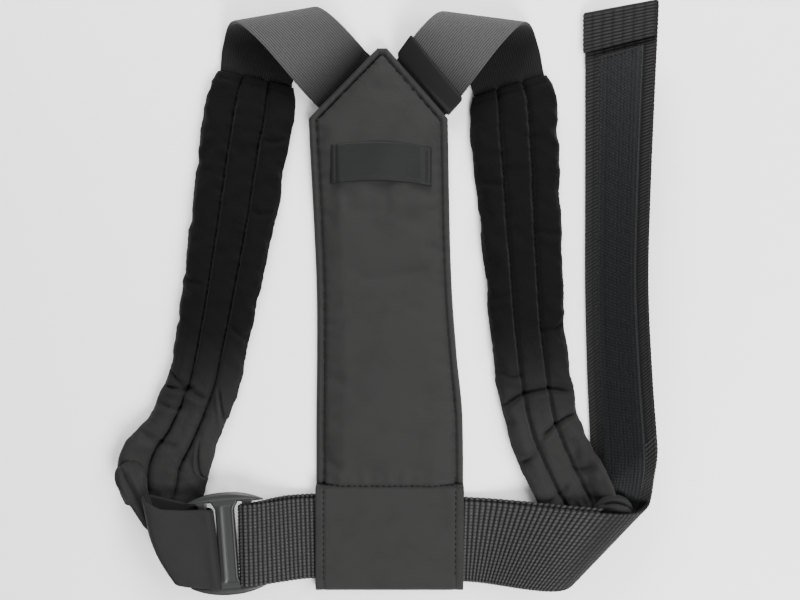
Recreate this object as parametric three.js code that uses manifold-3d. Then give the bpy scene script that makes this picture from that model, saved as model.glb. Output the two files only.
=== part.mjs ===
// A posture corrector lying flat on a surface, outer face up, in millimetres with +Z up.
// A padded back panel carries two elastic shoulder straps that roll over into quilted arm pads.
// A webbing belt runs through the panel's foot to a slide buckle on the left, and on the right
// it turns upwards into a free strap with hook tape. X runs to the right and Y towards the neck.
import * as THREE from 'three';
import { mergeVertices } from 'three/addons/utils/BufferGeometryUtils.js';
import Module from 'manifold-3d';

const wasm = await Module();
wasm.setup();

// Gaps
const gap = 0.3;
const layerGap = 0.5;
const wrapGap = 0.5;

// Back panel
const panelWidth = 92;
const panelLength = 294;
const gableHeight = 44;
const gableTipWidth = 6;
const panelLean = 7;
const panelThickness = 10;
const hemThickness = 4;
const hemWidth = 7;
const panelBacking = 2.2;
const gableTipLean = 0.65;
const gableRimShare = 0.72;
const footFold = 2.5;
const seamWidth = 2.2;
const waveHeight = 0.5;
const waveCount = 14;
const liftStart = 0.76;
const liftEnd = 0.97;

// Belt and its tunnel
const beltWidth = 50;
const beltThickness = 2.2;
const tunnelWall = 3.6;
const tunnelEase = 3.2;
const tunnelHead = 5;
const seamDepth = 1.4;
const beltSlopeAtBuckle = 0.075;
const beltSlopeAtTurn = -0.038;
const mouthEase = 2;
const rearStop = 7;
const rearSag = 0.6;

// Slide buckle
const buckleReach = 53.8;
const buckleHeight = 15;
const buckleLength = 48.5;
const slotEase = 2;
const railDepth = 5.6;
const railFullness = 0.5;
const railThickness = 5;
const middleBarWidth = 10.8;
const middleBarThickness = 3.6;
const sideBarRadius = 2.6;
const webbingSlot = 3;

// Side band looped round the buckle's left bar
const bandWidth = 46;
const bandThickness = 2;
const bandLength = 29;
const bandSlant = 17;
const bandClimb = 0.24;
const bandCrown = 28;
const bandBackHeight = 10.5;
const bandFoldShare = 0.6;

// Elastic shoulder straps
const elasticWidth = 46;
const elasticThickness = 1.8;
const elasticInsert = 10;
const elasticStandOff = 3;
const elasticRoll = 11;
const elasticRestHeight = 2.6;
const leftElasticRun = 39;
const rightElasticRun = 38;
const leftElasticTail = 19;
const rightElasticTail = 24;
const leftElasticHeading = 139.5;
const rightElasticHeading = 45.5;
const leftPadHeading = 257;
const rightPadHeading = 287;
const leftGableShare = 0.53;
const rightGableShare = 0.45;
const leftElasticFlare = 8;
const rightElasticFlare = 6;
const keeperWidth = 12.6;
const keeperWall = 1.2;
const keeperStandOff = 1.9;
const keeperSlant = 0.082;
const keeperEase = 1.2;
const keeperGround = 1.6;

// Quilted arm pads
const padWidth = 54;
const padThickness = 11;
const padChannelDip = 0.3;
const leftPadShort = 18;
const rightPadShort = 20;
const leftPadReach = panelLength - leftPadShort;
const rightPadReach = panelLength - rightPadShort;
const leftPadBearing = 257.3;
const rightPadBearing = 279.7;

// Turn of the belt and the free strap with its hook tape
const turnReach = 71;
const turnAxis = 49;
const turnRadiusLow = 11;
const turnRadiusHigh = 13.5;
const strapLength = 310;
const strapOutset = 126.5;
const strapHem = 24;
const strapLead = 1.6;
const strapSeat = 0.2;
const turnShare = 1.45;
const turnBlend = 0.95;
const turnEarly = 0.35;
const hookTapeWidth = 31;
const hookTapeThickness = 1.2;
const hookTapeShift = 1.5;
const hookTapeStart = 0.16;
const hookTapeSeat = 0.45;

// Label patch
const labelWidth = 62.5;
const labelHeight = 24;
const labelThickness = 1;
const labelDrop = 29;
const labelShift = 0.9;

// Panel outline: share of panelLength up from the foot, width as a share of panelWidth
// and sideways shift as a share of panelLean.
const panelOutline = [
  { up: 0.0, width: 1.0, lean: 0.0 },
  { up: 0.36, width: 1.0, lean: 0.0 },
  { up: 0.5, width: 0.955, lean: -0.24 },
  { up: 0.64, width: 0.925, lean: -0.47 },
  { up: 0.8, width: 0.93, lean: -0.72 },
  { up: 1.0, width: 0.945, lean: -1.0 },
];

// Arm pads: share of the reach from shoulder seam to lower end, bow sideways as a share of
// the reach, width as a share of padWidth, thickness as a share of padThickness, and lift off
// the surface and outer edge's curl, both as shares of padThickness.
const leftPadStations = [
  { along: 0.0, bow: 0.0, width: 0.9, thick: 0.55, lift: 0.0, curl: 0.0 },
  { along: 0.03, bow: 0.001, width: 1.0, thick: 0.85, lift: 0.0, curl: 0.0 },
  { along: 0.1, bow: 0.006, width: 1.06, thick: 1.0, lift: 0.0, curl: 0.0 },
  { along: 0.17, bow: 0.009, width: 1.03, thick: 1.0, lift: 0.0, curl: 0.0 },
  { along: 0.31, bow: 0.02, width: 0.99, thick: 1.0, lift: 0.0, curl: 0.0 },
  { along: 0.41, bow: 0.026, width: 0.95, thick: 1.0, lift: 0.0, curl: 0.0 },
  { along: 0.51, bow: 0.031, width: 0.9, thick: 1.0, lift: 0.0, curl: 0.0 },
  { along: 0.61, bow: 0.035, width: 0.86, thick: 1.05, lift: 0.0, curl: 0.0 },
  { along: 0.71, bow: 0.034, width: 0.86, thick: 0.92, lift: 0.0, curl: 0.0 },
  { along: 0.82, bow: 0.016, width: 0.9, thick: 1.05, lift: 0.0, curl: 0.1 },
  { along: 0.89, bow: -0.006, width: 1.03, thick: 0.95, lift: 0.0, curl: 0.5 },
  { along: 0.95, bow: -0.004, width: 0.98, thick: 0.7, lift: 0.0, curl: 0.5 },
  { along: 1.0, bow: 0.0, width: 0.8, thick: 0.55, lift: 0.0, curl: 0.1 },
];
const rightPadStations = [
  { along: 0.0, bow: 0.0, width: 0.9, thick: 0.55, lift: 0.0, curl: 0.0 },
  { along: 0.03, bow: 0.001, width: 1.0, thick: 0.85, lift: 0.0, curl: 0.0 },
  { along: 0.1, bow: -0.006, width: 1.03, thick: 1.0, lift: 0.0, curl: 0.0 },
  { along: 0.17, bow: -0.013, width: 1.0, thick: 1.0, lift: 0.0, curl: 0.0 },
  { along: 0.31, bow: -0.029, width: 0.95, thick: 1.0, lift: 0.0, curl: 0.0 },
  { along: 0.4, bow: -0.038, width: 0.91, thick: 1.0, lift: 0.0, curl: 0.0 },
  { along: 0.5, bow: -0.048, width: 0.88, thick: 1.0, lift: 0.0, curl: 0.0 },
  { along: 0.6, bow: -0.056, width: 0.88, thick: 1.05, lift: 0.0, curl: 0.0 },
  { along: 0.7, bow: -0.059, width: 0.88, thick: 0.92, lift: 0.0, curl: 0.0 },
  { along: 0.77, bow: -0.058, width: 0.86, thick: 1.05, lift: 0.0, curl: 0.0 },
  { along: 0.84, bow: -0.044, width: 0.87, thick: 0.95, lift: 0.0, curl: 0.35 },
  { along: 0.9, bow: -0.028, width: 0.86, thick: 0.8, lift: 0.35, curl: 0.9 },
  { along: 0.96, bow: -0.01, width: 0.84, thick: 0.6, lift: 0.6, curl: 0.9 },
  { along: 1.0, bow: 0.0, width: 0.76, thick: 0.5, lift: 0.65, curl: 0.8 },
];

// Free strap: share of strapLength from the turn, left edge's shift inwards as a share of
// beltWidth, and tilt of the strap about its left edge in degrees.
const strapStations = [
  { along: 0.0, inset: 0.0, tilt: 44 },
  { along: 0.12, inset: 0.0, tilt: 47 },
  { along: 0.28, inset: 0.04, tilt: 50 },
  { along: 0.45, inset: 0.065, tilt: 52 },
  { along: 0.62, inset: 0.065, tilt: 50 },
  { along: 0.82, inset: 0.065, tilt: 45 },
  { along: 1.0, inset: 0.065, tilt: 39 },
];

// Cross-section of a quilted pad, half on each side of its middle: place across as a share of
// the half width, and height as a share of the thickness.
const padTopProfile = [
  { across: -1.0, height: 0.45 },
  { across: -0.9, height: 0.8 },
  { across: -0.66, height: 1.0 },
  { across: -0.42, height: 0.95 },
  { across: -0.333, height: 1 - padChannelDip },
  { across: -0.24, height: 0.96 },
  { across: 0.0, height: 1.0 },
  { across: 0.24, height: 0.96 },
  { across: 0.333, height: 1 - padChannelDip },
  { across: 0.42, height: 0.95 },
  { across: 0.66, height: 1.0 },
  { across: 0.9, height: 0.8 },
  { across: 1.0, height: 0.45 },
];
const padBottomAcross = [0.88, 0.3, -0.3, -0.88];

const vector = (x, y, z = 0) => new THREE.Vector3(x, y, z);
const heading = (degrees) => {
  const angle = THREE.MathUtils.degToRad(degrees);
  return vector(Math.cos(angle), Math.sin(angle));
};
const lerp = THREE.MathUtils.lerp;
const smooth = (value, from, to) => THREE.MathUtils.smoothstep(value, from, to);

// Value of one column of a table at a place between its rows, on a smooth curve.
function readTable(table, key, column, place) {
  const last = table.length - 2;
  let row = 0;
  while (row < last && place > table[row + 1][key]) row += 1;
  const slope = (a, b) => (table[b][column] - table[a][column]) / (table[b][key] - table[a][key]);
  const before = Math.max(row - 1, 0);
  const after = Math.min(row + 2, table.length - 1);
  const span = table[row + 1][key] - table[row][key];
  const t = THREE.MathUtils.clamp((place - table[row][key]) / span, 0, 1);
  const startSlope = slope(before, row + 1) * span;
  const endSlope = slope(row, after) * span;
  const a = table[row][column];
  const b = table[row + 1][column];
  const t2 = t * t;
  const t3 = t2 * t;
  return (2 * t3 - 3 * t2 + 1) * a + (t3 - 2 * t2 + t) * startSlope
    + (3 * t2 - 2 * t3) * b + (t3 - t2) * endSlope;
}

// Turns lists of points and triangles into a closed geometry whose faces point outwards.
function closedGeometry(points, faces) {
  const geometry = new THREE.BufferGeometry();
  const positions = points.flatMap((p) => [p.x, p.y, p.z]);
  geometry.setAttribute('position', new THREE.Float32BufferAttribute(positions, 3));
  let volume = 0;
  for (let i = 0; i < faces.length; i += 3) {
    const [a, b, c] = [points[faces[i]], points[faces[i + 1]], points[faces[i + 2]]];
    volume += a.dot(b.clone().cross(c));
  }
  const outward = volume > 0;
  const index = [];
  for (let i = 0; i < faces.length; i += 3) {
    index.push(faces[i], faces[i + (outward ? 1 : 2)], faces[i + (outward ? 2 : 1)]);
  }
  geometry.setIndex(index);
  geometry.computeVertexNormals();
  return geometry;
}

// A slab between an upper and a lower grid of points, each given as rows of columns.
// A looped slab joins its last row to its first.
function slabGeometry(upper, lower, looped = false) {
  const rows = upper.length;
  const columns = upper[0].length;
  const top = (r, c) => (r % rows) * columns + c;
  const under = (r, c) => rows * columns + top(r, c);
  const faces = [];
  const quad = (a, b, c, d) => faces.push(a, b, c, a, c, d);
  const spans = looped ? rows : rows - 1;
  const end = columns - 1;
  for (let r = 0; r < spans; r += 1) {
    for (let c = 0; c < end; c += 1) {
      quad(top(r, c), top(r + 1, c), top(r + 1, c + 1), top(r, c + 1));
      quad(under(r, c), under(r, c + 1), under(r + 1, c + 1), under(r + 1, c));
    }
    quad(top(r + 1, 0), top(r, 0), under(r, 0), under(r + 1, 0));
    quad(top(r, end), top(r + 1, end), under(r + 1, end), under(r, end));
  }
  if (!looped) {
    for (let c = 0; c < end; c += 1) {
      quad(top(0, c), top(0, c + 1), under(0, c + 1), under(0, c));
      quad(top(rows - 1, c + 1), top(rows - 1, c), under(rows - 1, c), under(rows - 1, c + 1));
    }
  }
  return closedGeometry([...upper.flat(), ...lower.flat()], faces);
}

// Unit normal of a grid of points at one place.
function gridNormal(grid, r, c, looped = false) {
  const rows = grid.length;
  const before = looped ? (r + rows - 1) % rows : Math.max(r - 1, 0);
  const after = looped ? (r + 1) % rows : Math.min(r + 1, rows - 1);
  const left = Math.max(c - 1, 0);
  const right = Math.min(c + 1, grid[0].length - 1);
  const alongRows = grid[after][c].clone().sub(grid[before][c]);
  const alongColumns = grid[r][right].clone().sub(grid[r][left]);
  return alongRows.cross(alongColumns).normalize();
}

// Cloth of even thickness about a middle surface.
function clothGeometry(grid, thickness, looped = false) {
  const shifted = (distance) => grid.map((row, r) => row.map((point, c) => (
    point.clone().addScaledVector(gridNormal(grid, r, c, looped), distance)
  )));
  return slabGeometry(shifted(thickness / 2), shifted(-thickness / 2), looped);
}

// Rings of points joined into a closed body with flat ends.
function loftGeometry(rings) {
  const count = rings[0].length;
  const faces = [];
  for (let r = 0; r + 1 < rings.length; r += 1) {
    for (let k = 0; k < count; k += 1) {
      const next = (k + 1) % count;
      const [a, b] = [r * count + k, r * count + next];
      faces.push(a, b, b + count, a, b + count, a + count);
    }
  }
  const points = rings.flat();
  const centreOf = (ring) => ring.reduce((sum, p) => sum.add(p), vector(0, 0)).divideScalar(count);
  const first = points.push(centreOf(rings[0])) - 1;
  const last = points.push(centreOf(rings[rings.length - 1])) - 1;
  const lastRing = (rings.length - 1) * count;
  for (let k = 0; k < count; k += 1) {
    const next = (k + 1) % count;
    faces.push(first, next, k);
    faces.push(last, lastRing + k, lastRing + next);
  }
  return closedGeometry(points, faces);
}

function toSolid(geometry) {
  const plain = geometry.index ? geometry.clone() : geometry;
  plain.deleteAttribute('normal');
  plain.deleteAttribute('uv');
  const merged = mergeVertices(plain, 0.0005);
  return new wasm.Manifold(new wasm.Mesh({
    numProp: 3,
    vertProperties: new Float32Array(merged.attributes.position.array),
    triVerts: new Uint32Array(merged.index.array),
  }));
}

function fromSolid(solid) {
  const mesh = solid.getMesh();
  const geometry = new THREE.BufferGeometry();
  geometry.setAttribute('position', new THREE.BufferAttribute(mesh.vertProperties, 3));
  geometry.setIndex(new THREE.BufferAttribute(mesh.triVerts, 1));
  geometry.computeVertexNormals();
  return geometry;
}

function piece(name, geometry, color, roughness, metalness = 0) {
  const material = new THREE.MeshStandardMaterial({ color, roughness, metalness });
  const mesh = new THREE.Mesh(geometry, material);
  mesh.name = name;
  return mesh;
}

const evenly = (count, from = 0, to = 1) => (
  Array.from({ length: count + 1 }, (_, i) => lerp(from, to, i / count))
);

// Heights and places that the pieces share
const rearBeltHeight = panelBacking + gap + beltThickness / 2;
const frontBeltHeight = rearBeltHeight + beltThickness + layerGap;
const tunnelTop = frontBeltHeight + beltThickness / 2 + gap;
const beltMiddle = tunnelWall + tunnelEase + beltWidth / 2;
const tunnelDepth = beltWidth + 2 * tunnelEase;
const tunnelSeam = tunnelWall + tunnelDepth + tunnelHead;
const footThickness = Math.max(panelThickness, tunnelTop + panelBacking);
const gableLift = elasticThickness + keeperWall + 3 * gap + keeperGround;
const elasticHeight = gableLift - gap - elasticThickness / 2;

const panelHalf = (y) => (
  panelWidth * readTable(panelOutline, 'up', 'width', Math.min(y / panelLength, 1)) / 2
);
const panelCentre = (y) => (
  panelLean * readTable(panelOutline, 'up', 'lean', Math.min(y / panelLength, 1))
);
const gableTip = vector(panelCentre(panelLength) * gableTipLean, panelLength + gableHeight);

// Left and right limits of the panel at a height; above the shoulders they close to the tip.
function panelEdges(y) {
  const half = panelHalf(y);
  const centre = panelCentre(y);
  const rise = Math.max(y - panelLength, 0) / gableHeight;
  return [
    lerp(centre - half, gableTip.x - gableTipWidth / 2, rise),
    lerp(centre + half, gableTip.x + gableTipWidth / 2, rise),
  ];
}

// The panel's neck end is carried by the elastics sewn behind it.
const panelLift = (y) => gableLift * smooth(y / panelLength, liftStart, liftEnd);

// Height of the panel's outer face: a thin hem all round, a padded field, a soft wave across
// it, and the stitched groove over the belt tunnel.
function panelTop(x, y) {
  const [left, right] = panelEdges(y);
  const side = Math.min(x - left, right - x);
  const inTunnel = y < tunnelSeam;
  const fromHead = (panelLength + gableHeight - y) * gableRimShare;
  const inset = inTunnel ? hemWidth : Math.min(side, fromHead);
  const field = Math.sqrt(THREE.MathUtils.clamp(inset / hemWidth, 0, 1));
  const padded = inTunnel ? footThickness : panelThickness;
  const foot = smooth(y, -footFold, footFold);
  const groove = seamDepth * Math.exp(-(((y - tunnelSeam) / seamWidth) ** 2));
  const rows = Math.sin((y / panelLength) * waveCount);
  const wave = inTunnel ? 0 : waveHeight * rows * field;
  return panelLift(y) + lerp(hemThickness, padded, field * foot) - groove + wave;
}

function makePanel() {
  const across = [-1, -0.94, -0.84, -0.5, 0, 0.5, 0.84, 0.94, 1];
  const seam = tunnelSeam;
  const rows = [0, 1.2, tunnelWall * 0.8, seam * 0.5, seam - 4, seam - 0.1, seam + 2.5, seam + 8];
  const body = evenly(17, seam + 20, panelLength - 4);
  const gable = evenly(6, panelLength, panelLength + gableHeight);
  const upper = [];
  const lower = [];
  for (const y of [...rows, ...body, ...gable]) {
    const [left, right] = panelEdges(y);
    const xs = across.map((share) => lerp(left, right, (share + 1) / 2));
    upper.push(xs.map((x) => vector(x, y, panelTop(x, y))));
    lower.push(xs.map((x) => vector(x, y, panelLift(y))));
  }
  const tunnelHeight = tunnelTop - panelBacking;
  const tunnel = new THREE.BoxGeometry(panelWidth * 1.5, tunnelDepth, tunnelHeight);
  tunnel.translate(0, tunnelWall + tunnelDepth / 2, panelBacking + tunnelHeight / 2);
  const solid = toSolid(slabGeometry(upper, lower)).subtract(toSolid(tunnel));
  return fromSolid(solid);
}

function makeLabel() {
  const middle = panelLength - labelDrop;
  const centre = panelCentre(middle) + labelShift;
  const rows = evenly(4, middle - labelHeight / 2, middle + labelHeight / 2);
  const columns = evenly(6, centre - labelWidth / 2, centre + labelWidth / 2);
  const raised = (height) => rows.map((y) => columns.map((x) => (
    vector(x, y, panelTop(x, y) + gap + height)
  )));
  return slabGeometry(raised(labelThickness), raised(0));
}

// A strap laid flat from a start point, then rolled over a slanting axis and back below itself.
// Its flat points are mapped round a half cylinder whose axis halves the turn.
// The flare pulls the outer edge of the roll towards the neck.
function elasticRoute(start, outHeading, padHeading, run, flare) {
  const along = heading(outHeading);
  const axis = heading((outHeading + padHeading) / 2);
  const outward = vector(-axis.y, axis.x);
  if (outward.dot(along) < 0) outward.negate();
  const outer = along.x < 0 ? flare : -flare;
  return { start, along, side: vector(-along.y, along.x), outward, run, flare, outer };
}

const rollLength = Math.PI * elasticRoll;
const elasticCrest = elasticRestHeight + 2 * elasticRoll;

// The roll's slant makes one edge come out first: how much shorter a line across runs.
function elasticSlip(route, across) {
  const { along, side, outward } = route;
  return side.dot(outward) * across / along.dot(outward);
}

const elasticFoldStart = (route, across) => route.run - elasticSlip(route, across);

// Height of the upper layer, which leaves the gable level and climbs to the roll.
function elasticClimb(route, across, s) {
  const share = THREE.MathUtils.clamp(s / elasticFoldStart(route, across), 0, 1);
  return lerp(elasticHeight, elasticCrest, Math.sin(share * Math.PI / 2));
}

// How far a line across the elastic is pulled towards the neck at its roll.
const elasticPull = (route, across) => route.flare / 2 + route.outer * across / elasticWidth;

// One point of a rolled elastic: how far along it lies past the panel, and how far across.
function elasticPoint(route, across, stage, share, tail) {
  const { start, along, side, outward } = route;
  const foldStart = elasticFoldStart(route, across);
  const origin = start.clone().addScaledVector(side, across);
  const lengthPerRoll = 1 / along.dot(outward);
  if (stage === 'upper') {
    const s = share < 0 ? share * elasticInsert : share * foldStart;
    const pulled = elasticPull(route, across) * smooth(share, 0, 1);
    return origin.addScaledVector(along, s).add(vector(0, pulled))
      .setZ(elasticClimb(route, across, s));
  }
  const rolled = stage === 'roll' ? share * rollLength : rollLength;
  const past = stage === 'roll' ? 0 : share * (tail + elasticSlip(route, across));
  const total = foldStart + rolled * lengthPerRoll + past;
  const flat = origin.addScaledVector(along, total);
  const beyond = rolled + past / lengthPerRoll;
  const angle = rolled / elasticRoll;
  const back = rolled < rollLength ? elasticRoll * Math.sin(angle) : rollLength - beyond;
  flat.addScaledVector(outward, back - beyond);
  flat.y += elasticPull(route, across) * (stage === 'roll' ? 1 : 1 - smooth(share, 0, 1));
  return flat.setZ(elasticRestHeight + elasticRoll * (1 + Math.cos(angle)));
}

function elasticGrid(route, tail) {
  const stages = [
    ...[-1, ...evenly(6)].map((share) => ['upper', share]),
    ...evenly(10).slice(1).map((share) => ['roll', share]),
    ...evenly(3).slice(1).map((share) => ['tail', share]),
  ];
  const columns = evenly(4, -elasticWidth / 2, elasticWidth / 2);
  return stages.map(([stage, share]) => columns.map((across) => (
    elasticPoint(route, across, stage, share, tail)
  )));
}

// Each elastic leaves the middle of its side of the gable.
function gableStart(side, degrees, share) {
  const [left, right] = panelEdges(panelLength);
  const shoulder = vector(side < 0 ? left : right, panelLength);
  const tip = gableTip.clone().setX(gableTip.x + side * gableTipWidth / 2);
  const along = heading(degrees);
  const start = shoulder.lerp(tip, share);
  return start.addScaledVector(along, elasticStandOff);
}

const leftElastic = elasticRoute(
  gableStart(-1, leftElasticHeading, leftGableShare),
  leftElasticHeading,
  leftPadHeading,
  leftElasticRun,
  leftElasticFlare,
);
const rightElastic = elasticRoute(
  gableStart(1, rightElasticHeading, rightGableShare),
  rightElasticHeading,
  rightPadHeading,
  rightElasticRun,
  rightElasticFlare,
);

// The keeper is a flat sleeve round the right elastic, just outside the gable.
function makeKeeper() {
  const { start, along, side } = rightElastic;
  const halfInner = elasticWidth / 2 + gap;
  const clear = elasticThickness / 2 + keeperEase;
  const across = evenly(4, -1, 1);
  const sleeve = (wall) => [
    ...across.map((share) => [share, share * (halfInner + wall), -clear - wall]),
    ...across.toReversed().map((share) => [share, share * (halfInner + wall), clear + wall]),
  ];
  const first = keeperStandOff - elasticStandOff;
  const stops = evenly(3, first, first + keeperWidth);
  const walls = (wall) => sleeve(wall).map(([share, offset, height]) => stops.map((s) => (
    start.clone().addScaledVector(along, s + offset * keeperSlant).addScaledVector(side, offset)
      .setZ(elasticClimb(rightElastic, share * halfInner, s + offset * keeperSlant) + height)
  )));
  return slabGeometry(walls(keeperWall), walls(0), true);
}

// Where an elastic's lower end lies, which is where its pad begins.
function elasticEnd(route, tail) {
  return elasticPoint(route, 0, 'tail', 1, tail).setZ(0);
}

function makePad(stations, top, topHeading, reach, bearing, curlSide) {
  const run = heading(bearing);
  const sideways = vector(-run.y, run.x);
  const middle = (share) => {
    const bow = readTable(stations, 'along', 'bow', share) * reach;
    return top.clone().addScaledVector(run, share * reach).addScaledVector(sideways, bow);
  };
  const rings = evenly(28).map((share) => {
    const centre = middle(share);
    const ahead = middle(Math.min(share + 0.01, 1)).sub(middle(Math.max(share - 0.01, 0)));
    const settled = ahead.normalize();
    const along = heading(topHeading).lerp(settled, smooth(share, 0, 0.15)).normalize();
    const across = vector(-along.y, along.x);
    const read = (column) => readTable(stations, 'along', column, share);
    const half = read('width') * padWidth / 2;
    const thick = read('thick') * padThickness;
    const base = Math.max(read('lift'), 0) * padThickness;
    const curl = Math.max(read('curl'), 0) * padThickness;
    const place = (at, height) => {
      const curled = curl * smooth(at * curlSide, 0.45, 1);
      return centre.clone().addScaledVector(across, at * half).setZ(base + height + curled);
    };
    const upper = padTopProfile.map((row) => place(row.across, row.height * thick));
    const lower = padBottomAcross.map((at) => place(at, 0));
    return [...upper, ...lower];
  });
  return loftGeometry(rings);
}

// Belt in plan: its middle line bends a little at the tunnel, and its slope is given here.
const mouth = panelWidth / 2;
const barOffset = middleBarWidth / 2 + webbingSlot + beltThickness + wrapGap + sideBarRadius;
const buckleCentreX = -(mouth + buckleReach);
const barX = buckleCentreX + barOffset;

function beltSlope(x) {
  if (x > 0) return beltSlopeAtTurn;
  return lerp(beltSlopeAtTurn, beltSlopeAtBuckle, Math.min(x / barX, 1));
}

function beltLine(x) {
  const bent = Math.max(Math.min(x, 0), barX);
  const climb = (beltSlopeAtTurn + beltSlope(bent)) / 2 * bent;
  const straight = x > 0 ? x : Math.min(x - barX, 0);
  return vector(x, beltMiddle + climb + straight * beltSlope(x));
}

function beltFlat(x, across) {
  const tilt = Math.atan(beltSlope(x));
  return beltLine(x).add(vector(-Math.sin(tilt), Math.cos(tilt)).multiplyScalar(across));
}

// The turn: fold line through the belt's middle, and the share across that sets its radius.
const turnAlong = heading(THREE.MathUtils.radToDeg(Math.atan(beltSlopeAtTurn)));
const turnAxisLine = heading(turnAxis);
const turnOutward = vector(turnAxisLine.y, -turnAxisLine.x);
const turnStart = beltLine(mouth + turnReach);
const turnSine = turnAlong.dot(turnOutward);
const acrossShare = (across) => across / beltWidth + 0.5;
const turnRadius = (across) => lerp(turnRadiusLow, turnRadiusHigh, acrossShare(across));

// Place along the belt where the fold line crosses it, for one line of its width.
function foldX(across) {
  const from = beltFlat(mouth, across);
  const distance = turnStart.clone().sub(from).dot(turnOutward) / turnSine;
  return mouth + distance * turnAlong.x;
}

const strapFloor = beltThickness / 2;
const wrapRadius = sideBarRadius + wrapGap + beltThickness / 2;

// Height of the belt's front or rear layer.
function beltHeight(x, across, front) {
  const level = front ? frontBeltHeight : rearBeltHeight;
  if (x < -mouth) {
    const bar = buckleHeight + (front ? wrapRadius : -wrapRadius);
    return lerp(bar, level, smooth(x, barX, -mouth - mouthEase));
  }
  const below = front ? 0 : beltThickness + layerGap + rearSag;
  const crest = strapFloor + 2 * turnRadius(across) - below;
  return lerp(level, crest, smooth(x, mouth + mouthEase, foldX(across)));
}

// The free strap, standing on its left edge.
function strapPoint(distance, across) {
  const share = distance / strapLength;
  const tilt = THREE.MathUtils.degToRad(readTable(strapStations, 'along', 'tilt', share));
  const inset = readTable(strapStations, 'along', 'inset', share) * beltWidth;
  const width = across + beltWidth / 2;
  const foot = strapOutset - inset;
  const low = strapFloor * Math.cos(tilt) + strapSeat;
  const start = turnStart.y + turnRadiusHigh * strapLead;
  return vector(foot + width * Math.cos(tilt), start + distance, low + width * Math.sin(tilt));
}

// Rows of the belt beyond the fold line: first round the roll, then up the strap.
function turnPoint(across, past) {
  const radius = turnRadius(across);
  const half = Math.PI * radius;
  const flat = beltFlat(foldX(across), across).addScaledVector(turnAlong, past);
  const beyond = past * turnSine;
  const angle = Math.min(beyond / radius, Math.PI);
  const back = beyond < half ? radius * Math.sin(angle) : half - beyond;
  const rolled = flat.clone().addScaledVector(turnOutward, back - beyond);
  rolled.setZ(strapFloor + radius * (1 + Math.cos(angle)));
  const middleHalf = Math.PI * turnRadius(0) / 2 / turnSine;
  const slip = (foldX(across) - foldX(0)) / turnAlong.x;
  const distance = past + slip - middleHalf - turnRadiusHigh * strapLead;
  const tilted = strapPoint(distance, across);
  const early = acrossShare(across);
  const begins = lerp(turnBlend, turnEarly, early) * half;
  const blend = smooth(beyond, begins, begins + half * turnBlend);
  return rolled.lerp(tilted, blend);
}

const beltColumns = evenly(4, -beltWidth / 2, beltWidth / 2);

// All of the belt as rows: rear layer, wrap round the buckle's bar, front layer, turn, strap.
function beltGrid() {
  const rows = [];
  const addRow = (make) => rows.push(beltColumns.map(make));
  const layerRow = (stop, across, front) => {
    const far = foldX(across) - (front ? 0 : rearStop);
    const ends = [barX, -mouth - mouthEase, mouth + mouthEase, far];
    const x = lerp(ends[Math.floor(stop)], ends[Math.min(Math.floor(stop) + 1, 3)], stop % 1);
    return beltFlat(x, across).setZ(beltHeight(x, across, front));
  };
  const stops = [...evenly(6), 1.5, ...evenly(8, 2, 3)];
  for (const stop of stops.toReversed()) addRow((across) => layerRow(stop, across, false));
  for (const share of evenly(8).slice(1, -1)) {
    const angle = share * Math.PI;
    const drop = wrapRadius * Math.cos(angle);
    const out = wrapRadius * Math.sin(angle);
    addRow((across) => (
      beltFlat(barX, across).add(vector(-out, -out * beltSlopeAtBuckle))
        .setZ(buckleHeight - drop)
    ));
  }
  for (const stop of stops) addRow((across) => layerRow(stop, across, true));
  const turnLength = turnShare * Math.PI * turnRadiusHigh / turnSine;
  for (const share of evenly(14).slice(1)) {
    addRow((across) => turnPoint(across, share * turnLength));
  }
  const strapEnd = strapLength + turnRadiusHigh * strapLead;
  const middleHalf = Math.PI * turnRadius(0) / 2 / turnSine;
  for (const share of evenly(16).slice(1)) {
    addRow((across) => {
      const slip = (foldX(across) - foldX(0)) / turnAlong.x;
      const last = strapEnd + middleHalf - slip;
      return turnPoint(across, lerp(turnLength, last, share));
    });
  }
  return rows;
}

// Hook tape sewn on the free strap's upper face.
function makeHookTape() {
  const half = hookTapeWidth / 2;
  const columns = evenly(2, hookTapeShift - half, hookTapeShift + half);
  const rows = evenly(16, strapLength * hookTapeStart, strapLength - strapHem);
  const middle = rows.map((distance) => columns.map((across) => strapPoint(distance, across)));
  const raise = (height) => middle.map((row, r) => row.map((point, c) => {
    const normal = gridNormal(middle, r, c);
    return point.clone().addScaledVector(normal, normal.z > 0 ? height : -height);
  }));
  const seat = beltThickness / 2 + hookTapeSeat;
  return slabGeometry(raise(seat + hookTapeThickness), raise(seat));
}

// Buckle in its own plane: its long axis follows the bars, and it is turned to suit the belt.
const buckleTurn = Math.atan(beltSlopeAtBuckle);
const buckleCentre = beltLine(buckleCentreX).setZ(buckleHeight);
const slotHalf = (beltWidth + slotEase) / 2;

function inBucklePlane(u, v, z) {
  const [c, s] = [Math.cos(buckleTurn), Math.sin(buckleTurn)];
  return vector(buckleCentre.x + u * c - v * s, buckleCentre.y + u * s + v * c, z);
}

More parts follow.
